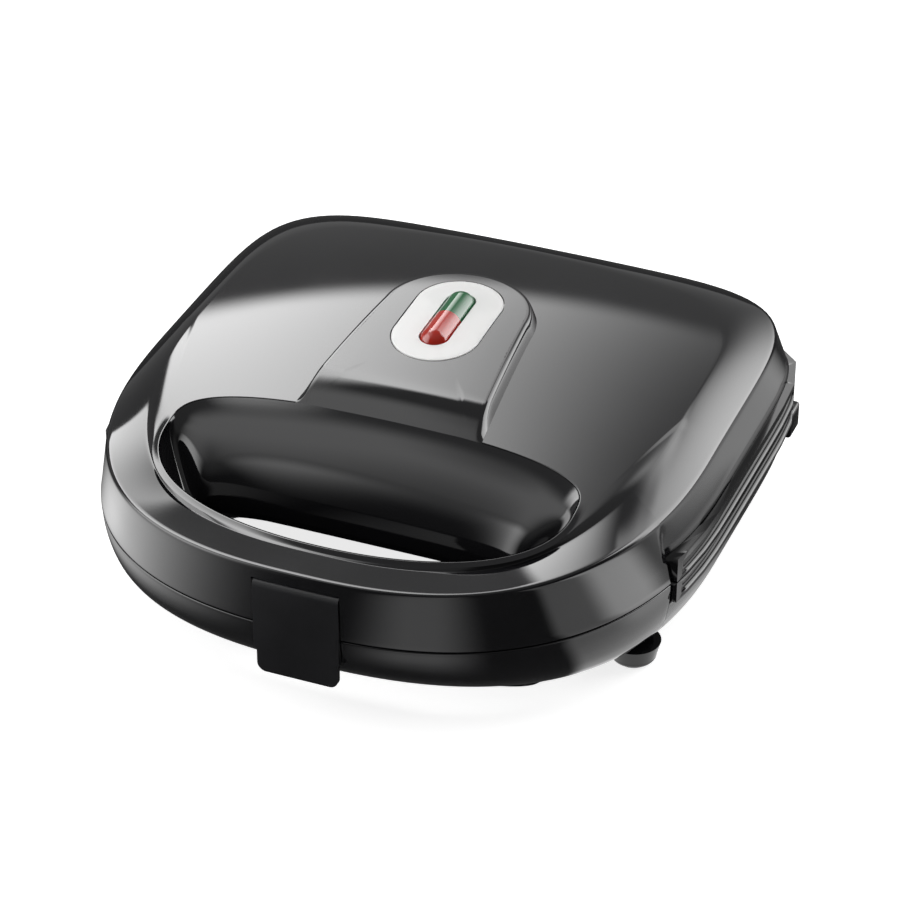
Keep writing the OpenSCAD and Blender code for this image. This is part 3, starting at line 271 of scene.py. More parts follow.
def moulded_skin():
    """Roughness and height of a moulded or cast skin: fine orange peel with a slow drift."""
    name = "Moulded skin"
    tree = group(name, [("Grain size", "NodeSocketFloat", 900.0), ("Roughness low", "NodeSocketFloat", 0.1),
                        ("Roughness high", "NodeSocketFloat", 0.2)],
                 [("Roughness", "NodeSocketFloat"), ("Height", "NodeSocketFloat"), ("Drift", "NodeSocketFloat")])
    if tree is None:
        return bpy.data.node_groups[name]
    nodes, links = tree.nodes, tree.links
    take = nodes.new("NodeGroupInput")
    give = nodes.new("NodeGroupOutput")
    place = nodes.new("ShaderNodeTexCoord")
    peel = nodes.new("ShaderNodeTexNoise")
    peel.inputs["Detail"].default_value = 2.0
    drift = nodes.new("ShaderNodeTexNoise")
    drift.inputs["Scale"].default_value = 34.0
    drift.inputs["Detail"].default_value = 4.0
    spread = nodes.new("ShaderNodeMapRange")
    links.new(place.outputs["Object"], peel.inputs["Vector"])
    links.new(place.outputs["Object"], drift.inputs["Vector"])
    links.new(take.outputs["Grain size"], peel.inputs["Scale"])
    links.new(drift.outputs["Fac"], spread.inputs["Value"])
    links.new(take.outputs["Roughness low"], spread.inputs["To Min"])
    links.new(take.outputs["Roughness high"], spread.inputs["To Max"])
    links.new(spread.outputs["Result"], give.inputs["Roughness"])
    links.new(peel.outputs["Fac"], give.inputs["Height"])
    links.new(drift.outputs["Fac"], give.inputs["Drift"])
    return tree


def surface(name, colour, rough=(0.1, 0.2), grain=900.0, bump=0.02, metallic=0.0, shade=0.15, ior=1.5,
            transmission=0.0, coat=0.0, specular=0.5):
    """A finish of moulded plastic, rubber or metal, with varied roughness, colour and grain."""
    if name in bpy.data.materials:
        return bpy.data.materials[name]
    material = bpy.data.materials.new(name)
    material.use_nodes = True
    nodes, links = material.node_tree.nodes, material.node_tree.links
    shader = nodes["Principled BSDF"]
    skin = nodes.new("ShaderNodeGroup")
    skin.node_tree = moulded_skin()
    skin.inputs["Grain size"].default_value = grain
    skin.inputs["Roughness low"].default_value = rough[0]
    skin.inputs["Roughness high"].default_value = rough[1]
    tint = nodes.new("ShaderNodeValToRGB")
    tint.color_ramp.elements[0].position = 0.3
    tint.color_ramp.elements[1].position = 0.7
    tint.color_ramp.elements[0].color = [c * (1 - shade) for c in colour] + [1]
    tint.color_ramp.elements[1].color = [min(1, c * (1 + shade)) for c in colour] + [1]
    bend = nodes.new("ShaderNodeBump")
    bend.inputs["Strength"].default_value = bump
    bend.inputs["Distance"].default_value = 0.0004
    links.new(skin.outputs["Drift"], tint.inputs["Fac"])
    links.new(tint.outputs["Color"], shader.inputs["Base Color"])
    links.new(skin.outputs["Roughness"], shader.inputs["Roughness"])
    links.new(skin.outputs["Height"], bend.inputs["Height"])
    links.new(bend.outputs["Normal"], shader.inputs["Normal"])
    shader.inputs["Metallic"].default_value = metallic
    shader.inputs["IOR"].default_value = ior
    shader.inputs["Transmission Weight"].default_value = transmission
    shader.inputs["Coat Weight"].default_value = coat
    shader.inputs["Specular IOR Level"].default_value = specular
    return material


def gloss_black():
    return surface("Gloss black housing", colours().housing, (0.05, 0.09), 700.0, 0.004)


def frame_black():
    return surface("Gloss black frame", [c * 0.7 for c in colours().housing], (0.06, 0.1), 700.0, 0.006, ior=1.45)


def satin_black():
    return surface("Satin black latch", [c * 1.9 for c in colours().housing], (0.26, 0.34), 1200.0, 0.03)


# ---------------------------------------------------------------- lid
EVEN = 240


def step_turn():
    """Direction of the place where the skirt steps over the end of the frames, below the x axis."""
    share = (0.0489 + 0.002) / shape().nose_reach
    return math.atan2(share, (1 - share ** 2.46) ** (1 / 2.46))


def turns():
    """Directions round an outline, with a close pair at each step of the skirt."""
    step = step_turn()
    even = [2 * math.pi * i / EVEN for i in range(EVEN)]
    near = math.radians(0.6)
    close = math.radians(0.12)
    keep = [t for t in even if abs(t - math.pi - step) > near and abs(t - 2 * math.pi + step) > near]
    for middle in (math.pi + step, 2 * math.pi - step):
        keep += [middle - close, middle + close]
    return np.array(sorted(keep))


def beside_frame(turn):
    step = step_turn()
    return (turn < math.pi + step) | (turn > 2 * math.pi - step)


def skirt_ring(turn, f, inset, lift=0.0):
    """f = 0 at the foot, 1 at the crease; beside the frames the skirt ends at the frame top."""
    L = lines()
    beside = beside_frame(turn)
    foot = np.where(beside[:, None], on_line(grow(L["cove"], -inset), turn), on_line(grow(L["seam"], -inset), turn))
    p = mix(foot, on_line(grow(L["crease"], -inset), turn), f)
    start = np.where(beside, 0.0101, 0.00025) + lift
    return with_z(p, mix(start, crease_z(p) - inset * 0.6, f))


def edge_dip(turn):
    """The plateau dips towards its edge at the two front corners."""
    return np.where(np.sin(turn) < 0, 0.0018 * np.exp(-((np.abs(np.cos(turn)) - 0.66) / 0.2) ** 2), 0)


def bevel_ring(turn, f, drop):
    L = lines()
    a, b = on_line(L["crease"], turn), on_line(L["plateau"], turn)
    low, high = crease_z(a), crown(b) - edge_dip(turn)
    swell = 0.0056 * np.clip((high - low) / 0.0099, 0, 1) ** 2
    return with_z(mix(a, b, f), mix(low, high, f) + swell * f * (1 - f) - drop)


LIP = 0.0024


def front_share(turn):
    """1 round the front and the ends of the opening, 0 at its back."""
    s = np.clip(0.5 - 1.4 * np.sin(turn), 0, 1)
    return s * s * (3 - 2 * s)


def crown_ring(turn, f, drop):
    """f = 0 at the edge of the plateau, 1 where the lip round the opening begins."""
    L = lines()
    p = mix(on_line(L["plateau"], turn), on_line(grow(L["rim"], LIP), turn), f)
    return with_z(p, crown(p) - edge_dip(turn) * (1 - f) ** 3 - drop)


def lip_ring(turn, width, drop=0.0):
    """The lip flattens towards the opening and ends in a small round edge."""
    p = on_line(grow(lines()["rim"], width), turn)
    rise = 0.0003 * front_share(turn) * (1 - width / LIP) ** 1.3
    return with_z(p, crown(p) + rise - drop)


def latch_cutters():
    """The room of the latch in the nose of lid and base."""
    half, proud, knuckle = 0.01675, 0.0010, 0.0033
    axis_y = -shape().nose_reach - proud + knuckle
    parts = []
    bm = box_bmesh((-half, -0.140, -0.001), (half, axis_y - knuckle + 0.00255, 0.016))
    parts.append(new_piece("cut_front", bm))
    bm = bmesh.new()
    bmesh.ops.create_cone(bm, cap_ends=True, segments=64, radius1=knuckle + 0.00035, radius2=knuckle + 0.00035,
                          depth=2 * half)
    bmesh.ops.rotate(bm, verts=bm.verts, matrix=_turn_y(90), cent=(0, 0, 0))
    bmesh.ops.translate(bm, verts=bm.verts, vec=(0, axis_y, 0.016))
    parts.append(new_piece("cut_knuckle", bm))
    bm = box_bmesh((-half, -0.140, 0.0127), (half, axis_y - 0.001, 0.0127 + 0.00695))
    parts.append(new_piece("cut_top", bm))
    return parts


def _turn_y(degrees):
    from mathutils import Matrix
    return Matrix.Rotation(math.radians(degrees), 3, "Y")


class TOASTER_OT_lid_shell(bpy.types.Operator):
    """Moulded lid cover: skirt, rounded crease, bevel band and crowned top"""
    bl_idname = "toaster.lid_shell"
    bl_label = "Lid shell"

    def execute(self, context):
        turn = turns()
        s = shape()
        r = s.crease_round
        near = r / 0.027
        edge = 0.0005
        outer = round_corner(skirt_ring(turn, 0, edge), skirt_ring(turn, 0, 0), skirt_ring(turn, 0, 0, edge), 4)
        outer += [skirt_ring(turn, f, 0) for f in (0.1, 0.3, 0.6, 0.8)]
        outer += round_corner(skirt_ring(turn, 1 - near, 0), skirt_ring(turn, 1, 0),
                              bevel_ring(turn, r / 0.025, 0), 9)
        outer += [bevel_ring(turn, f, 0) for f in np.linspace(0.14, 0.86, 9)]
        outer += round_corner(bevel_ring(turn, 0.92, 0), bevel_ring(turn, 1, 0), crown_ring(turn, 0.02, 0), 7)
        outer += [crown_ring(turn, f, 0) for f in np.linspace(0.06, 1, 18)]
        outer += [lip_ring(turn, w) for w in (0.0019, 0.0014, 0.0009, 0.0005)]
        outer += round_corner(lip_ring(turn, 0.0003), lip_ring(turn, 0), lip_ring(turn, 0, 0.0004), 4)
        inner = [lip_ring(turn, 0, s.wall)]
        inner += [crown_ring(turn, f, s.wall) for f in (1, 0.8, 0.6, 0.4, 0.2, 0)]
        inner += [bevel_ring(turn, f, s.wall) for f in (0.7, 0.4)]
        inner += [skirt_ring(turn, f, s.wall) for f in (1, 0.5, 0)]
        lid = new_piece("lid_shell", loft(outer + inner, tube=True))
        cut_away(lid, latch_cutters())
        dress(lid, gloss_black())
        settle(lid, "lid", "housing", "lid_cover")
        return {"FINISHED"}


# ---------------------------------------------------------------- handle lining and tongue
FUNNEL_FLOOR = 0.0066


def funnel_ring(turn, a, out):
    """a runs from 0 at the rim of the opening to 90 degrees at the finger gap.  The back wall
    leans forward from the rim on, and the ends and the front drop straight first."""
    L = lines()
    rear = np.clip(1.5 * np.sin(turn), 0, 1)
    rear = rear * rear * (3 - 2 * rear)
    lean = math.radians(45) * rear
    b = mix(lean, math.pi / 2, a / 90)
    a = math.radians(a)
    weight = mix((1 - math.cos(a)) ** 1.6, (np.sin(b) - np.sin(lean)) / (1 - np.sin(lean)), rear)[:, None]
    g = out * min(1, 1.6 * math.sin(a))
    rim = on_line(grow(L["rim"], -0.0003), turn)
    p = mix(on_line(grow(L["rim"], -0.0003 + g), turn), on_line(grow(L["gap"], g), turn), weight)
    share = np.cos(b) / np.cos(lean)
    top = crown(rim) + 0.0003 * front_share(turn) - 0.0001
    return with_z(p, mix(FUNNEL_FLOOR, top, share) - out * share)


class TOASTER_OT_handle_lining(bpy.types.Operator):
    """Lining of the handle opening: rolls from the lid down to the finger gap"""
    bl_idname = "toaster.handle_lining"
    bl_label = "Handle lining"

    def execute(self, context):
        turn = np.array([2 * math.pi * (i + 0.5) / EVEN for i in range(EVEN)])
        angles = np.linspace(0, 90, 26)
        rings = [funnel_ring(turn, a, 0) for a in angles]
        rings += [funnel_ring(turn, a, 0.0020) for a in angles[::-3]]
        lining = new_piece("handle_lining", loft(rings, tube=True))
        dress(lining, gloss_black())
        settle(lining, "lid", "housing", "handle_insert")
        return {"FINISHED"}


TONGUE_START = -0.0653 + 0.0213
TONGUE_END = 0.0488
TONGUE_ROUND = 0.027
TONGUE_RAMP = 0.016
TONGUE_DIVE = 0.0025        # how far the front edge runs on under the lining


def tongue_plan(g):
    """Outline of the tongue: straight sides, a rounded rear end and a straight front edge."""
    neck = TONGUE_END - TONGUE_ROUND
    front_y = TONGUE_START - TONGUE_DIVE

    def side(y):
        return mix(0.0339, 0.0278, (max(y, TONGUE_START) - TONGUE_START) / (neck - TONGUE_START)) + g
    rows = list(np.linspace(front_y, TONGUE_START + TONGUE_RAMP, 24, endpoint=False))
    rows += list(np.linspace(TONGUE_START + TONGUE_RAMP, neck, 24, endpoint=False))
    right = [(side(y), y) for y in rows]
    end = [((0.0278 + g) * math.cos(t), neck + (TONGUE_ROUND + g) * math.sin(t))
           for t in np.linspace(0, math.pi, 61)]
    left = [(-x, y) for x, y in reversed(right)]
    front = [(x * side(front_y), front_y) for x in np.linspace(-1, 1, 31)[1:-1]]
    return np.array(right + end + left + front)


def tongue_ring(g, h, shrink=1.0):
    p = tongue_plan(g)
    mid = np.array([0, (TONGUE_START + TONGUE_END) / 2])
    p = mid + (p - mid) * shrink
    f = np.clip((p[:, 1] - TONGUE_START) / TONGUE_RAMP, 0, 1)
    top = 0.00009 + 0.00511 * (1 - (1 - f) ** 1.6)
    dive = 0.474 * np.maximum(0, TONGUE_START - p[:, 1])
    return with_z(p, crown(p) + mix(0.00005, top, h) - dive)


class TOASTER_OT_tongue(bpy.types.Operator):
    """Raised tongue of the handle insert that carries the indicator bezel"""
    bl_idname = "toaster.tongue"
    bl_label = "Tongue"

    def execute(self, context):
        rings = [tongue_ring(0.0028, 0, k) for k in (0.3, 0.7, 1)]
        rings += [tongue_ring(0.0028 * (1 - k), math.sin(k * math.pi / 2)) for k in np.linspace(0.1, 0.9, 9)]
        rings += [tongue_ring(-0.0004, 1), tongue_ring(-0.0012, 1)]
        rings += [tongue_ring(0, 1, k) for k in (0.97, 0.945, 0.92, 0.895, 0.87, 0.84, 0.81, 0.78, 0.75, 0.72,
                                                 0.69, 0.6, 0.5, 0.4, 0.3, 0.2, 0.1)]
        tongue = new_piece("tongue", loft(rings))
        recess = new_piece("cut_recess", loft([bezel_ring(0.0004, -0.0018), bezel_ring(0.0004, 0.004)]))
        cut_away(tongue, [recess])
        dress(tongue, gloss_black())
        settle(tongue, "lid", "housing", "handle_insert")
        return {"FINISHED"}


# ---------------------------------------------------------------- indicator
BEZEL_Y = 0.0136


def bezel_plan(g, count=96):
    w, l = 0.0168 + g, 0.0284 + g
    pts = []
    for i in range(count):
        t = 2 * math.pi * (i + 0.5) / count
        pts.append((w * math.cos(t), BEZEL_Y + math.copysign(l - w, math.sin(t)) + w * math.sin(t)))
    return np.array(pts)


def bezel_ring(g, dz, shrink=1.0):
    mid = np.array([0, BEZEL_Y])
    p = mid + (bezel_plan(g) - mid) * shrink
    return with_z(p, crown(p) + 0.0052 + dz)


def lens_plan(r, count=64):
    pts = []
    for i in range(count):
        t = 2 * math.pi * (i + 0.5) / count
        pts.append((r * math.cos(t), BEZEL_Y + math.copysign(0.0186 - 0.0056, math.sin(t)) + r * math.sin(t)))
    return np.array(pts)


def lens_height(p, r, a):
    top = float(crown(np.array([[0, BEZEL_Y]]))[0]) + 0.0054
    tilt = 0.064 - 2 * 1.1 * BEZEL_Y
    return top - 0.0023 + r * math.sin(a) + (p[:, 1] - BEZEL_Y) * tilt


class TOASTER_OT_indicator(bpy.types.Operator):
    """Oval white bezel with the two halves of the capsule lens"""
    bl_idname = "toaster.indicator"
    bl_label = "Indicator"

    def execute(self, context):
        rings = [bezel_ring(0, -0.00175), bezel_ring(0, -0.0002)]
        rings += round_corner(bezel_ring(0, -0.0002), bezel_ring(0, 0.0002), bezel_ring(-0.0005, 0.0002), 5)[1:]
        rings += [bezel_ring(-0.0006, 0.0002, k) for k in (0.9, 0.7, 0.5)]
        bezel = new_piece("bezel", loft(rings))
        slot = new_piece("cut_slot", loft([with_z(lens_plan(0.0059), 0.03), with_z(lens_plan(0.0059), 0.07)]))
        cut_away(bezel, [slot])
        dress(bezel, surface("White bezel", colours().bezel, (0.34, 0.42), 900.0, 0.02, shade=0.02))
        settle(bezel, "lid", "bezel", "indicator_bezel")
        for side, name, tone in ((1, "green_lens", colours().green), (-1, "red_lens", colours().red)):
            foot = float(crown(np.array([[0, BEZEL_Y]]))[0]) - 0.0034
            rings = [with_z(lens_plan(0.0056), foot)]
            for a in np.radians([0, 10, 20, 30, 40, 50, 60, 70, 78, 84]):
                p = lens_plan(0.0056 * math.cos(a))
                rings.append(with_z(p, lens_height(p, 0.0056, a)))
            lens = new_piece(name + "_dome", loft(rings))
            low = BEZEL_Y - 0.04 if side > 0 else BEZEL_Y - 0.00005
            block = new_piece("cut_half", box_bmesh((-0.02, low, 0), (0.02, low + 0.04, 0.08)))
            cut_away(lens, [block])
            dress(lens, surface(name.replace("_", " "), tone, (0.04, 0.08), 500.0, 0.004, shade=0.1,
                                transmission=0.25, coat=0.1))
            settle(lens, "lid", name, name)
        return {"FINISHED"}


# ---------------------------------------------------------------- base
BASE_LEVELS = [
    (0.00, 0.0, 0.0, 0.0), (0.22, 0.4, 1.0, 0.2), (0.40, 1.2, 2.6, 0.6), (0.58, 2.6, 5.2, 1.3),
    (0.76, 4.8, 10.2, 2.6), (0.90, 8.4, 16.2, 5.0), (0.98, 13.5, 21.0, 8.5),
]


def base_level(f):
    """Depth share and insets at a depth share f, on a smooth curve through the levels."""
    table = np.array(BASE_LEVELS)
    shares = table[:, 0]
    found = [f]
    for k in (1, 2, 3):
        slope = np.gradient(table[:, k], shares)
        i = int(np.clip(np.searchsorted(shares, f) - 1, 0, len(shares) - 2))
        w = shares[i + 1] - shares[i]
        u = (f - shares[i]) / w
        found.append(float(table[i, k] * (1 + 2 * u) * (1 - u) ** 2 + w * slope[i] * u * (1 - u) ** 2
                           + table[i + 1, k] * u * u * (3 - 2 * u) + w * slope[i + 1] * u * u * (u - 1)))
    return found


def level_line(level):
    s = shape()
    return (s.half_width - level[1] / 1000, 0, s.tail_reach - level[3] / 1000, s.nose_reach - level[2] / 1000,
            7.4, 2.46)


FRAME_SHARE = 0.0087 / 0.031


def base_ring(turn, f, inset, lift, rise=0.0):
    """f = 0 at the top edge; beside the frames the profile starts at the foot of the lower frame."""
    q = on_line(level_line(BASE_LEVELS[-1]), turn)
    chin = chin_z(q)
    rings = []
    for depth in (f, mix(FRAME_SHARE, 1, f)):
        p = on_line(grow(level_line(base_level(min(depth, 0.98))), -inset), turn)
        rings.append(with_z(p, np.maximum(mix(-0.00025, chin, depth), chin + lift) - rise))
    return np.where(beside_frame(turn)[:, None], rings[1], rings[0])


def floor_ring(turn, f, scoop, lift):
    a = on_line(grow(level_line(BASE_LEVELS[-1]), -0.003), turn)
    b = on_line(scoop, turn)
    p = mix(a, b, f)
    return with_z(p, chin_z(p) + lift)


def behind(line, by):
    """The hidden side of the scoop, grown at its sides and back."""
    return (line[0] + by, line[1], line[2] + by, line[3] + 0.0022, line[4], line[5])


class TOASTER_OT_base_shell(bpy.types.Operator):
    """Moulded base cover with its rounded lower edge, rear cleats and the lower half of the finger gap"""
    bl_idname = "toaster.base_shell"
    bl_label = "Base shell"

    def execute(self, context):
        turn = turns()
        s = shape()
        L = lines()
        top = -0.0053
        edge = 0.0005
        rings = [with_z(on_line(behind(L["low_gap"], 0.003), turn), top), with_z(on_line(L["low_gap"], turn), top)]
        rings += [floor_ring(turn, 1, L["scoop"], 0), floor_ring(turn, 0.5, L["scoop"], 0),
                  floor_ring(turn, 0.02, L["scoop"], 0)]
        rings += [base_ring(turn, f, 0, 0) for f in np.linspace(0.98, 0.03, 28)]
        rings += round_corner(base_ring(turn, 0, 0, 0, edge), base_ring(turn, 0, 0, 0), base_ring(turn, 0, edge, 0), 4)
        rings += [base_ring(turn, 0, s.wall, 0)]
        rings += [base_ring(turn, f, s.wall, s.wall) for f in (0.22, 0.4, 0.58, 0.76, 0.9, 0.98)]
        rings += [floor_ring(turn, f, behind(L["scoop"], 0.003), s.wall) for f in (0, 0.5, 1)]
        base = new_piece("base_shell", loft(rings, tube=True))
        half = 0.01675
        back = -s.nose_reach - 0.001 + 0.0022 + 0.0011 + 0.00035
        seat = new_piece("cut_seat", box_bmesh((-half, -0.15, -0.03), (half, back, 0.01)))
        slots = [new_piece("cut_vent", box_bmesh((i * 0.009 - 0.0015, 0.03, -0.034),
                                                 (i * 0.009 + 0.0015, 0.07, -0.026)))
                 for i in range(-5, 6)]
        cut_away(base, [seat] + slots)
        dress(base, gloss_black())
        settle(base, "base", "housing", "base_cover")
        for side, name in ((1, "cleat_right"), (-1, "cleat_left")):
            x0, x1 = sorted((side * (s.half_width - 0.014), side * (s.half_width - 0.005)))
            y = s.tail_reach - 0.004
            cleat = new_piece(name, box_bmesh((x0, y - 0.012, -0.026), (x1, y, -0.015), 0.0012, 3))
            dress(cleat, gloss_black())
            settle(cleat, "base", "housing", "base_cover")
        return {"FINISHED"}


# ---------------------------------------------------------------- carried-over pieces
def side_groove(side, low, high, depth):
    """A cutter along one side of a frame, between the heights low and high."""
    lean = 0.0005
    section = ((0.003, low), (-depth, low + lean), (-depth, high - lean), (0.003, high))
    rings = []
    for y in np.linspace(-0.0455, 0.088, 44):
        if y < 0:
            across = (1 - (-y / shape().nose_reach) ** 2.55) ** (1 / 2.55)
        else:
            across = (1 - (y / 0.1124) ** 8) ** (1 / 8)
        rings.append(np.array([(side * (0.118 * across + out), y, z) for out, z in section]))
    return new_piece("cut_groove", loft(rings))


class TOASTER_OT_frames(bpy.types.Operator):
    """The two frames that meet at the seam, with their side grooves"""
    bl_idname = "toaster.frames"
    bl_label = "Frames"

    def execute(self, context):
        for name, body, low, high in (("upper_frame", "lid", 0.0012, 0.0077),
                                      ("lower_frame", "base", -0.0068, -0.0012)):
            piece = bpy.data.objects.new(name + "_rim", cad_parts[name].data.copy())
            context.scene.collection.objects.link(piece)
            cut_away(piece, [side_groove(side, low, high, 0.0013) for side in (-1, 1)], 30.0)
            dress(piece, frame_black())
            settle(piece, body, "frame", name)
        return {"FINISHED"}


class TOASTER_OT_latch(bpy.types.Operator):
    """Latch clip at the nose"""
    bl_idname = "toaster.latch"
    bl_label = "Latch"

    def execute(self, context):
        node = dress_node("latch_clip", satin_black())
        soften(node, 0.0007, 3)
        return {"FINISHED"}


class TOASTER_OT_plates(bpy.types.Operator):
    """Cooking plates with their non-stick coating"""
    bl_idname = "toaster.plates"
    bl_label = "Cooking plates"

    def execute(self, context):
        coat = surface("Non-stick coating", (0.035, 0.035, 0.038), (0.32, 0.5), 1500.0, 0.12, shade=0.25)
        for name in ("upper_plate", "lower_plate"):
            soften(dress_node(name, coat), 0.0006, 2, 25)
        return {"FINISHED"}


class TOASTER_OT_inner_works(bpy.types.Operator):
    """Heaters, shields, screws, wiring, feet and the cord inlet"""
    bl_idname = "toaster.inner_works"
    bl_label = "Inner works and feet"

    def execute(self, context):
        steel = surface("Zinc-plated steel", (0.55, 0.56, 0.58), (0.22, 0.38), 1400.0, 0.05, metallic=1.0)
        tube = surface("Heater tube steel", (0.25, 0.24, 0.25), (0.35, 0.55), 1100.0, 0.1, metallic=1.0)
        heat = surface("Heat-resistant plastic", (0.62, 0.60, 0.55), (0.4, 0.55), 1100.0, 0.06)
        glow = surface("Lamp glass", (0.85, 0.6, 0.42), (0.05, 0.1), 600.0, 0.01, transmission=0.5)
        soft = surface("Black rubber", (0.012, 0.012, 0.012), (0.55, 0.75), 1800.0, 0.2)
        wire = surface("Wire sleeve", (0.35, 0.03, 0.025), (0.4, 0.5), 1600.0, 0.1)
        clay = surface("Ceramic", (0.66, 0.62, 0.54), (0.35, 0.5), 900.0, 0.08)
        table = {
            "lamp_holder": heat, "terminal_block": heat, "neon_lamps": glow, "holder_screws": steel,
            "upper_heater": tube, "lower_heater": tube, "upper_clamps": steel, "lower_clamps": steel,
            "upper_plate_screws": steel, "lower_plate_screws": steel, "upper_heat_shield": steel,
            "lower_heat_shield": steel, "lid_screws": steel, "base_screws": steel, "hinge_pins": steel,
            "latch_pin": steel, "foot_pads": soft, "cord_inlet_bush": soft, "thermostat": clay,
            "thermal_fuse": steel, "internal_leads": wire, "feet": gloss_black(),
        }
        for name, material in table.items():
            dress_node(name, material)
        return {"FINISHED"}


# ---------------------------------------------------------------- stage
class Wires:
    """Small helper that writes sums and windows into a node tree."""

    def __init__(self, tree):
        self.nodes, self.links = tree.nodes, tree.links

    def put(self, socket, value):
        if isinstance(value, (int, float)):
            socket.default_value = value
        else:
            self.links.new(value, socket)

    def math(self, operation, *values):
        node = self.nodes.new("ShaderNodeMath")
        node.operation = operation
        for socket, value in zip(node.inputs, values):
            self.put(socket, value)
        return node.outputs[0]

    def step(self, value, start, end):
        """0 before start and 1 after end, with a soft turn between."""
        node = self.nodes.new("ShaderNodeMapRange")
        node.interpolation_type = "SMOOTHSTEP"
        self.put(node.inputs["Value"], value)
        node.inputs["From Min"].default_value = min(start, end)
        node.inputs["From Max"].default_value = max(start, end)
        if start > end:
            node.inputs["To Min"].default_value = 1.0
            node.inputs["To Max"].default_value = 0.0
        return node.outputs["Result"]

    def span(self, value, start, full, fade, end):
        """1 between full and fade, with a soft turn down to 0 at start and at end."""
        return self.math("MULTIPLY", self.step(value, start, full), self.step(value, end, fade))

    def heading(self, x, y):
        return self.math("MULTIPLY", self.math("ARCTAN2", x, y), 180 / math.pi)


# A span of degrees says where a light starts, is full, begins to fade and ends.
# Heading 0 is straight behind the toaster, 90 is to its right and -90 to its left.
# Soft boxes round the stage: strength, span of headings, span of heights.
SOFT_BOXES = (
    (9.0, (-95, -60, -45, 0), (24.5, 28.5, 60, 67)),   # behind on the left
    (7.0, (-5, 50, 60, 70), (-3, 2, 46, 55)),          # behind on the right
    (2.5, (-5, 0, 15, 30), (38, 44, 52, 58)),          # high behind
    (5.0, (-160, -125, -100, -80), (-3, 2, 46, 54)),   # left
    (1.5, (-175, -115, -100, -75), (47, 56, 70, 82)),  # high on the left
    (1.0, (145, 155, 160, 180), (-12, -6, 4, 10)),     # low strip in front
)
# The first box is cut off at a slant: its lower edge rises by this many degrees over this span of headings.
SLANT_RISE = 14.0
SLANT_FROM, SLANT_TO = -41, -48
# Light pools on the floor that gloss sees: strength, span of headings, and the reach in metres
# from the middle of the stage at which the pool starts and is full.
FLOOR_POOLS = (
    (2.5, (-170, -125, -115, -85), (0.125, 0.17)),     # left
    (2.5, (85, 95, 105, 115), (0.13, 0.19)),           # right
    (1.0, (60, 105, 125, 130), (0.10, 0.101)),         # close by on the right
    (1.0, (30, 40, 75, 85), (0.19, 0.225)),            # behind on the right
    (1.0, (145, 160, 165, 180), (0.125, 0.16)),        # in front
)
DIM_FLOOR = 0.06


def studio_light():
    """Soft boxes round the stage by direction, with a dim fill between them."""
    tree = group("Studio light", [("Direction", "NodeSocketVector", None)],
                 [("Softboxes", "NodeSocketFloat"), ("Fill", "NodeSocketFloat")])
    if tree is None:
        return bpy.data.node_groups["Studio light"]
    wires = Wires(tree)
    take = tree.nodes.new("NodeGroupInput")
    give = tree.nodes.new("NodeGroupOutput")
    split = tree.nodes.new("ShaderNodeSeparateXYZ")
    tree.links.new(take.outputs["Direction"], split.inputs[0])
    heading = wires.heading(split.outputs["X"], split.outputs["Y"])
    height = wires.math("MULTIPLY", wires.math("ARCSINE", split.outputs["Z"]), 180 / math.pi)
    slant = wires.math("MULTIPLY", wires.step(heading, SLANT_FROM, SLANT_TO), SLANT_RISE)
    total = 0.0
    for k, (level, headings, (start, full, fade, end)) in enumerate(SOFT_BOXES):
        low = wires.math("SUBTRACT", height, slant) if k == 0 else height
        window = wires.math("MULTIPLY", wires.step(low, start, full), wires.step(height, end, fade))
        lit = wires.math("MULTIPLY", wires.math("MULTIPLY", wires.span(heading, *headings), window), level)
        total = wires.math("ADD", lit, total)
    tree.links.new(total, give.inputs["Softboxes"])
    behind_side = wires.math("MULTIPLY", wires.step(heading, -160, -148), wires.step(heading, 82, 70))
    above = wires.math("MAXIMUM", behind_side, wires.step(height, 30, 50))
    fill = wires.math("ADD", wires.math("MULTIPLY", above, 0.26), 0.06)
    tree.links.new(fill, give.inputs["Fill"])
    return tree


def seen_in_gloss(wires):
    path = wires.nodes.new("ShaderNodeLightPath")
    return path, wires.math("MAXIMUM", path.outputs["Is Glossy Ray"], path.outputs["Is Transmission Ray"])


def floor_paint():
    """Pale floor that keeps a faint shadow; gloss sees it dim, with the light pools on it."""
    paint = bpy.data.materials.new("Pale floor")
    paint.use_nodes = True
    wires = Wires(paint.node_tree)
    shader = wires.nodes["Principled BSDF"]
    shader.inputs["Base Color"].default_value = (0.86, 0.86, 0.86, 1)
    shader.inputs["Roughness"].default_value = 0.6
    shader.inputs["Specular IOR Level"].default_value = 0.0
    shader.inputs["Emission Color"].default_value = (1, 1, 1, 1)
    path, gloss = seen_in_gloss(wires)
    wires.put(shader.inputs["Emission Strength"], wires.math("MULTIPLY", path.outputs["Is Camera Ray"], 0.80))
    place = wires.nodes.new("ShaderNodeTexCoord")
    split = wires.nodes.new("ShaderNodeSeparateXYZ")
    wires.put(split.inputs[0], place.outputs["Object"])
    x, y = split.outputs["X"], split.outputs["Y"]
    heading = wires.heading(x, y)
    reach = wires.math("SQRT", wires.math("ADD", wires.math("MULTIPLY", x, x), wires.math("MULTIPLY", y, y)))
    level = DIM_FLOOR
    for strength, headings, (near, far) in FLOOR_POOLS:
        pool = wires.math("MULTIPLY", wires.span(heading, *headings), strength)
        level = wires.math("ADD", wires.math("MULTIPLY", pool, wires.step(reach, near, far)), level)
    glow = wires.nodes.new("ShaderNodeEmission")
    wires.put(glow.inputs["Strength"], level)
    choose = wires.nodes.new("ShaderNodeMixShader")
    wires.put(choose.inputs[0], gloss)
    wires.put(choose.inputs[1], shader.outputs[0])
    wires.put(choose.inputs[2], glow.outputs[0])
    wires.put(wires.nodes["Material Output"].inputs["Surface"], choose.outputs[0])
    return paint


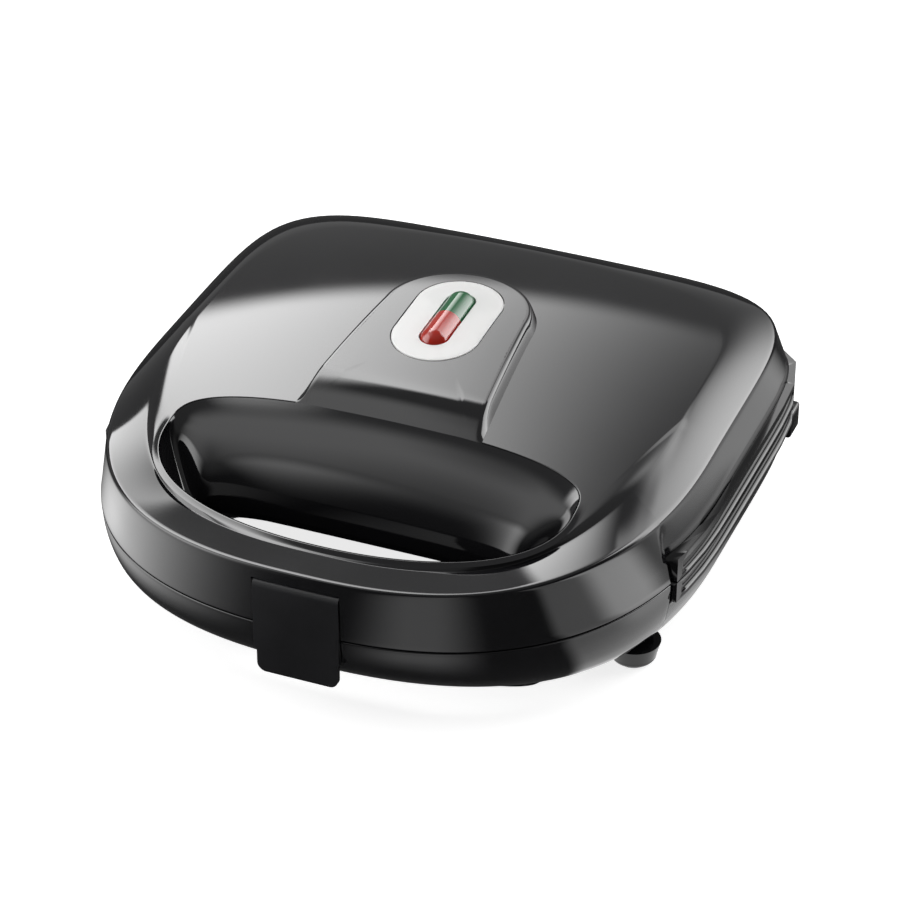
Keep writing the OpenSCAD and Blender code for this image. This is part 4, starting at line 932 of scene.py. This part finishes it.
class TOASTER_OT_stage(bpy.types.Operator):
    """Pale floor, soft studio light, white surround and the camera"""
    bl_idname = "toaster.stage"
    bl_label = "Stage"

    def execute(self, context):
        scene = context.scene
        # floor
        bm = bmesh.new()
        bmesh.ops.create_grid(bm, x_segments=2, y_segments=2, size=3.0)
        mesh = bpy.data.meshes.new("floor")
        bm.to_mesh(mesh)
        bm.free()
        floor = bpy.data.objects.new("floor", mesh)
        scene.collection.objects.link(floor)
        mesh.materials.append(floor_paint())
        # surround
        world = bpy.data.worlds.new("Surround")
        scene.world = world
        world.use_nodes = True
        wires = Wires(world.node_tree)
        path, gloss = seen_in_gloss(wires)
        place = wires.nodes.new("ShaderNodeTexCoord")
        studio = wires.nodes.new("ShaderNodeGroup")
        studio.node_tree = studio_light()
        wires.put(studio.inputs["Direction"], place.outputs["Generated"])
        share = wires.math("ADD", wires.math("MULTIPLY", gloss, 1 - context.scene.toaster_stage.soft_share),
                           context.scene.toaster_stage.soft_share)
        level = wires.math("ADD", wires.math("MULTIPLY", studio.outputs["Softboxes"], share), studio.outputs["Fill"])
        seen = wires.nodes.new("ShaderNodeMix")
        wires.put(seen.inputs["Factor"], path.outputs["Is Camera Ray"])
        wires.put(seen.inputs["A"], level)
        seen.inputs["B"].default_value = 1.0
        wires.put(wires.nodes["Background"].inputs["Strength"], seen.outputs["Result"])
        wires.nodes["Background"].inputs["Color"].default_value = (1, 1, 1, 1)
        # camera
        az, el = math.radians(22.1637), math.radians(32.8134)
        look = Vector((-math.sin(az) * math.cos(el), math.cos(az) * math.cos(el), -math.sin(el)))
        data = bpy.data.cameras.new("Camera")
        data.sensor_width = 36.0
        data.lens = scene.toaster_stage.focal
        data.shift_x = 0.01778
        data.shift_y = -0.00098
        camera = bpy.data.objects.new("Camera", data)
        camera.location = Vector((0, SEAM_Y, SEAM_Z)) - look * 1.3
        camera.rotation_euler = look.to_track_quat("-Z", "Y").to_euler()
        scene.collection.objects.link(camera)
        scene.camera = camera
        scene.view_settings.view_transform = "Standard"
        return {"FINISHED"}


PIECES = (
    TOASTER_OT_lid_shell, TOASTER_OT_handle_lining, TOASTER_OT_tongue, TOASTER_OT_indicator,
    TOASTER_OT_base_shell, TOASTER_OT_frames, TOASTER_OT_latch, TOASTER_OT_plates,
    TOASTER_OT_inner_works, TOASTER_OT_stage,
)


class TOASTER_PT_pieces(bpy.types.Panel):
    """Lists the pieces of the toaster"""
    bl_label = "Sandwich toaster"
    bl_idname = "TOASTER_PT_pieces"
    bl_space_type = "VIEW_3D"
    bl_region_type = "UI"
    bl_category = "Toaster"

    def draw(self, context):
        for piece in PIECES:
            self.layout.operator(piece.bl_idname)
        for settings in (context.scene.toaster_shape, context.scene.toaster_finish, context.scene.toaster_stage):
            for name in settings.__annotations__:
                self.layout.prop(settings, name)


CLASSES = (ToasterShape, ToasterFinish, ToasterStage) + PIECES + (TOASTER_PT_pieces,)


def register():
    for cls in CLASSES:
        bpy.utils.register_class(cls)
    bpy.types.Scene.toaster_shape = PointerProperty(type=ToasterShape)
    bpy.types.Scene.toaster_finish = PointerProperty(type=ToasterFinish)
    bpy.types.Scene.toaster_stage = PointerProperty(type=ToasterStage)


def unregister():
    del bpy.types.Scene.toaster_stage
    del bpy.types.Scene.toaster_finish
    del bpy.types.Scene.toaster_shape
    for cls in reversed(CLASSES):
        bpy.utils.unregister_class(cls)


def main():
    register()
    for piece in PIECES:
        group_name, call = piece.bl_idname.split(".")
        getattr(getattr(bpy.ops, group_name), call)()


if __name__ == "__main__":
    main()
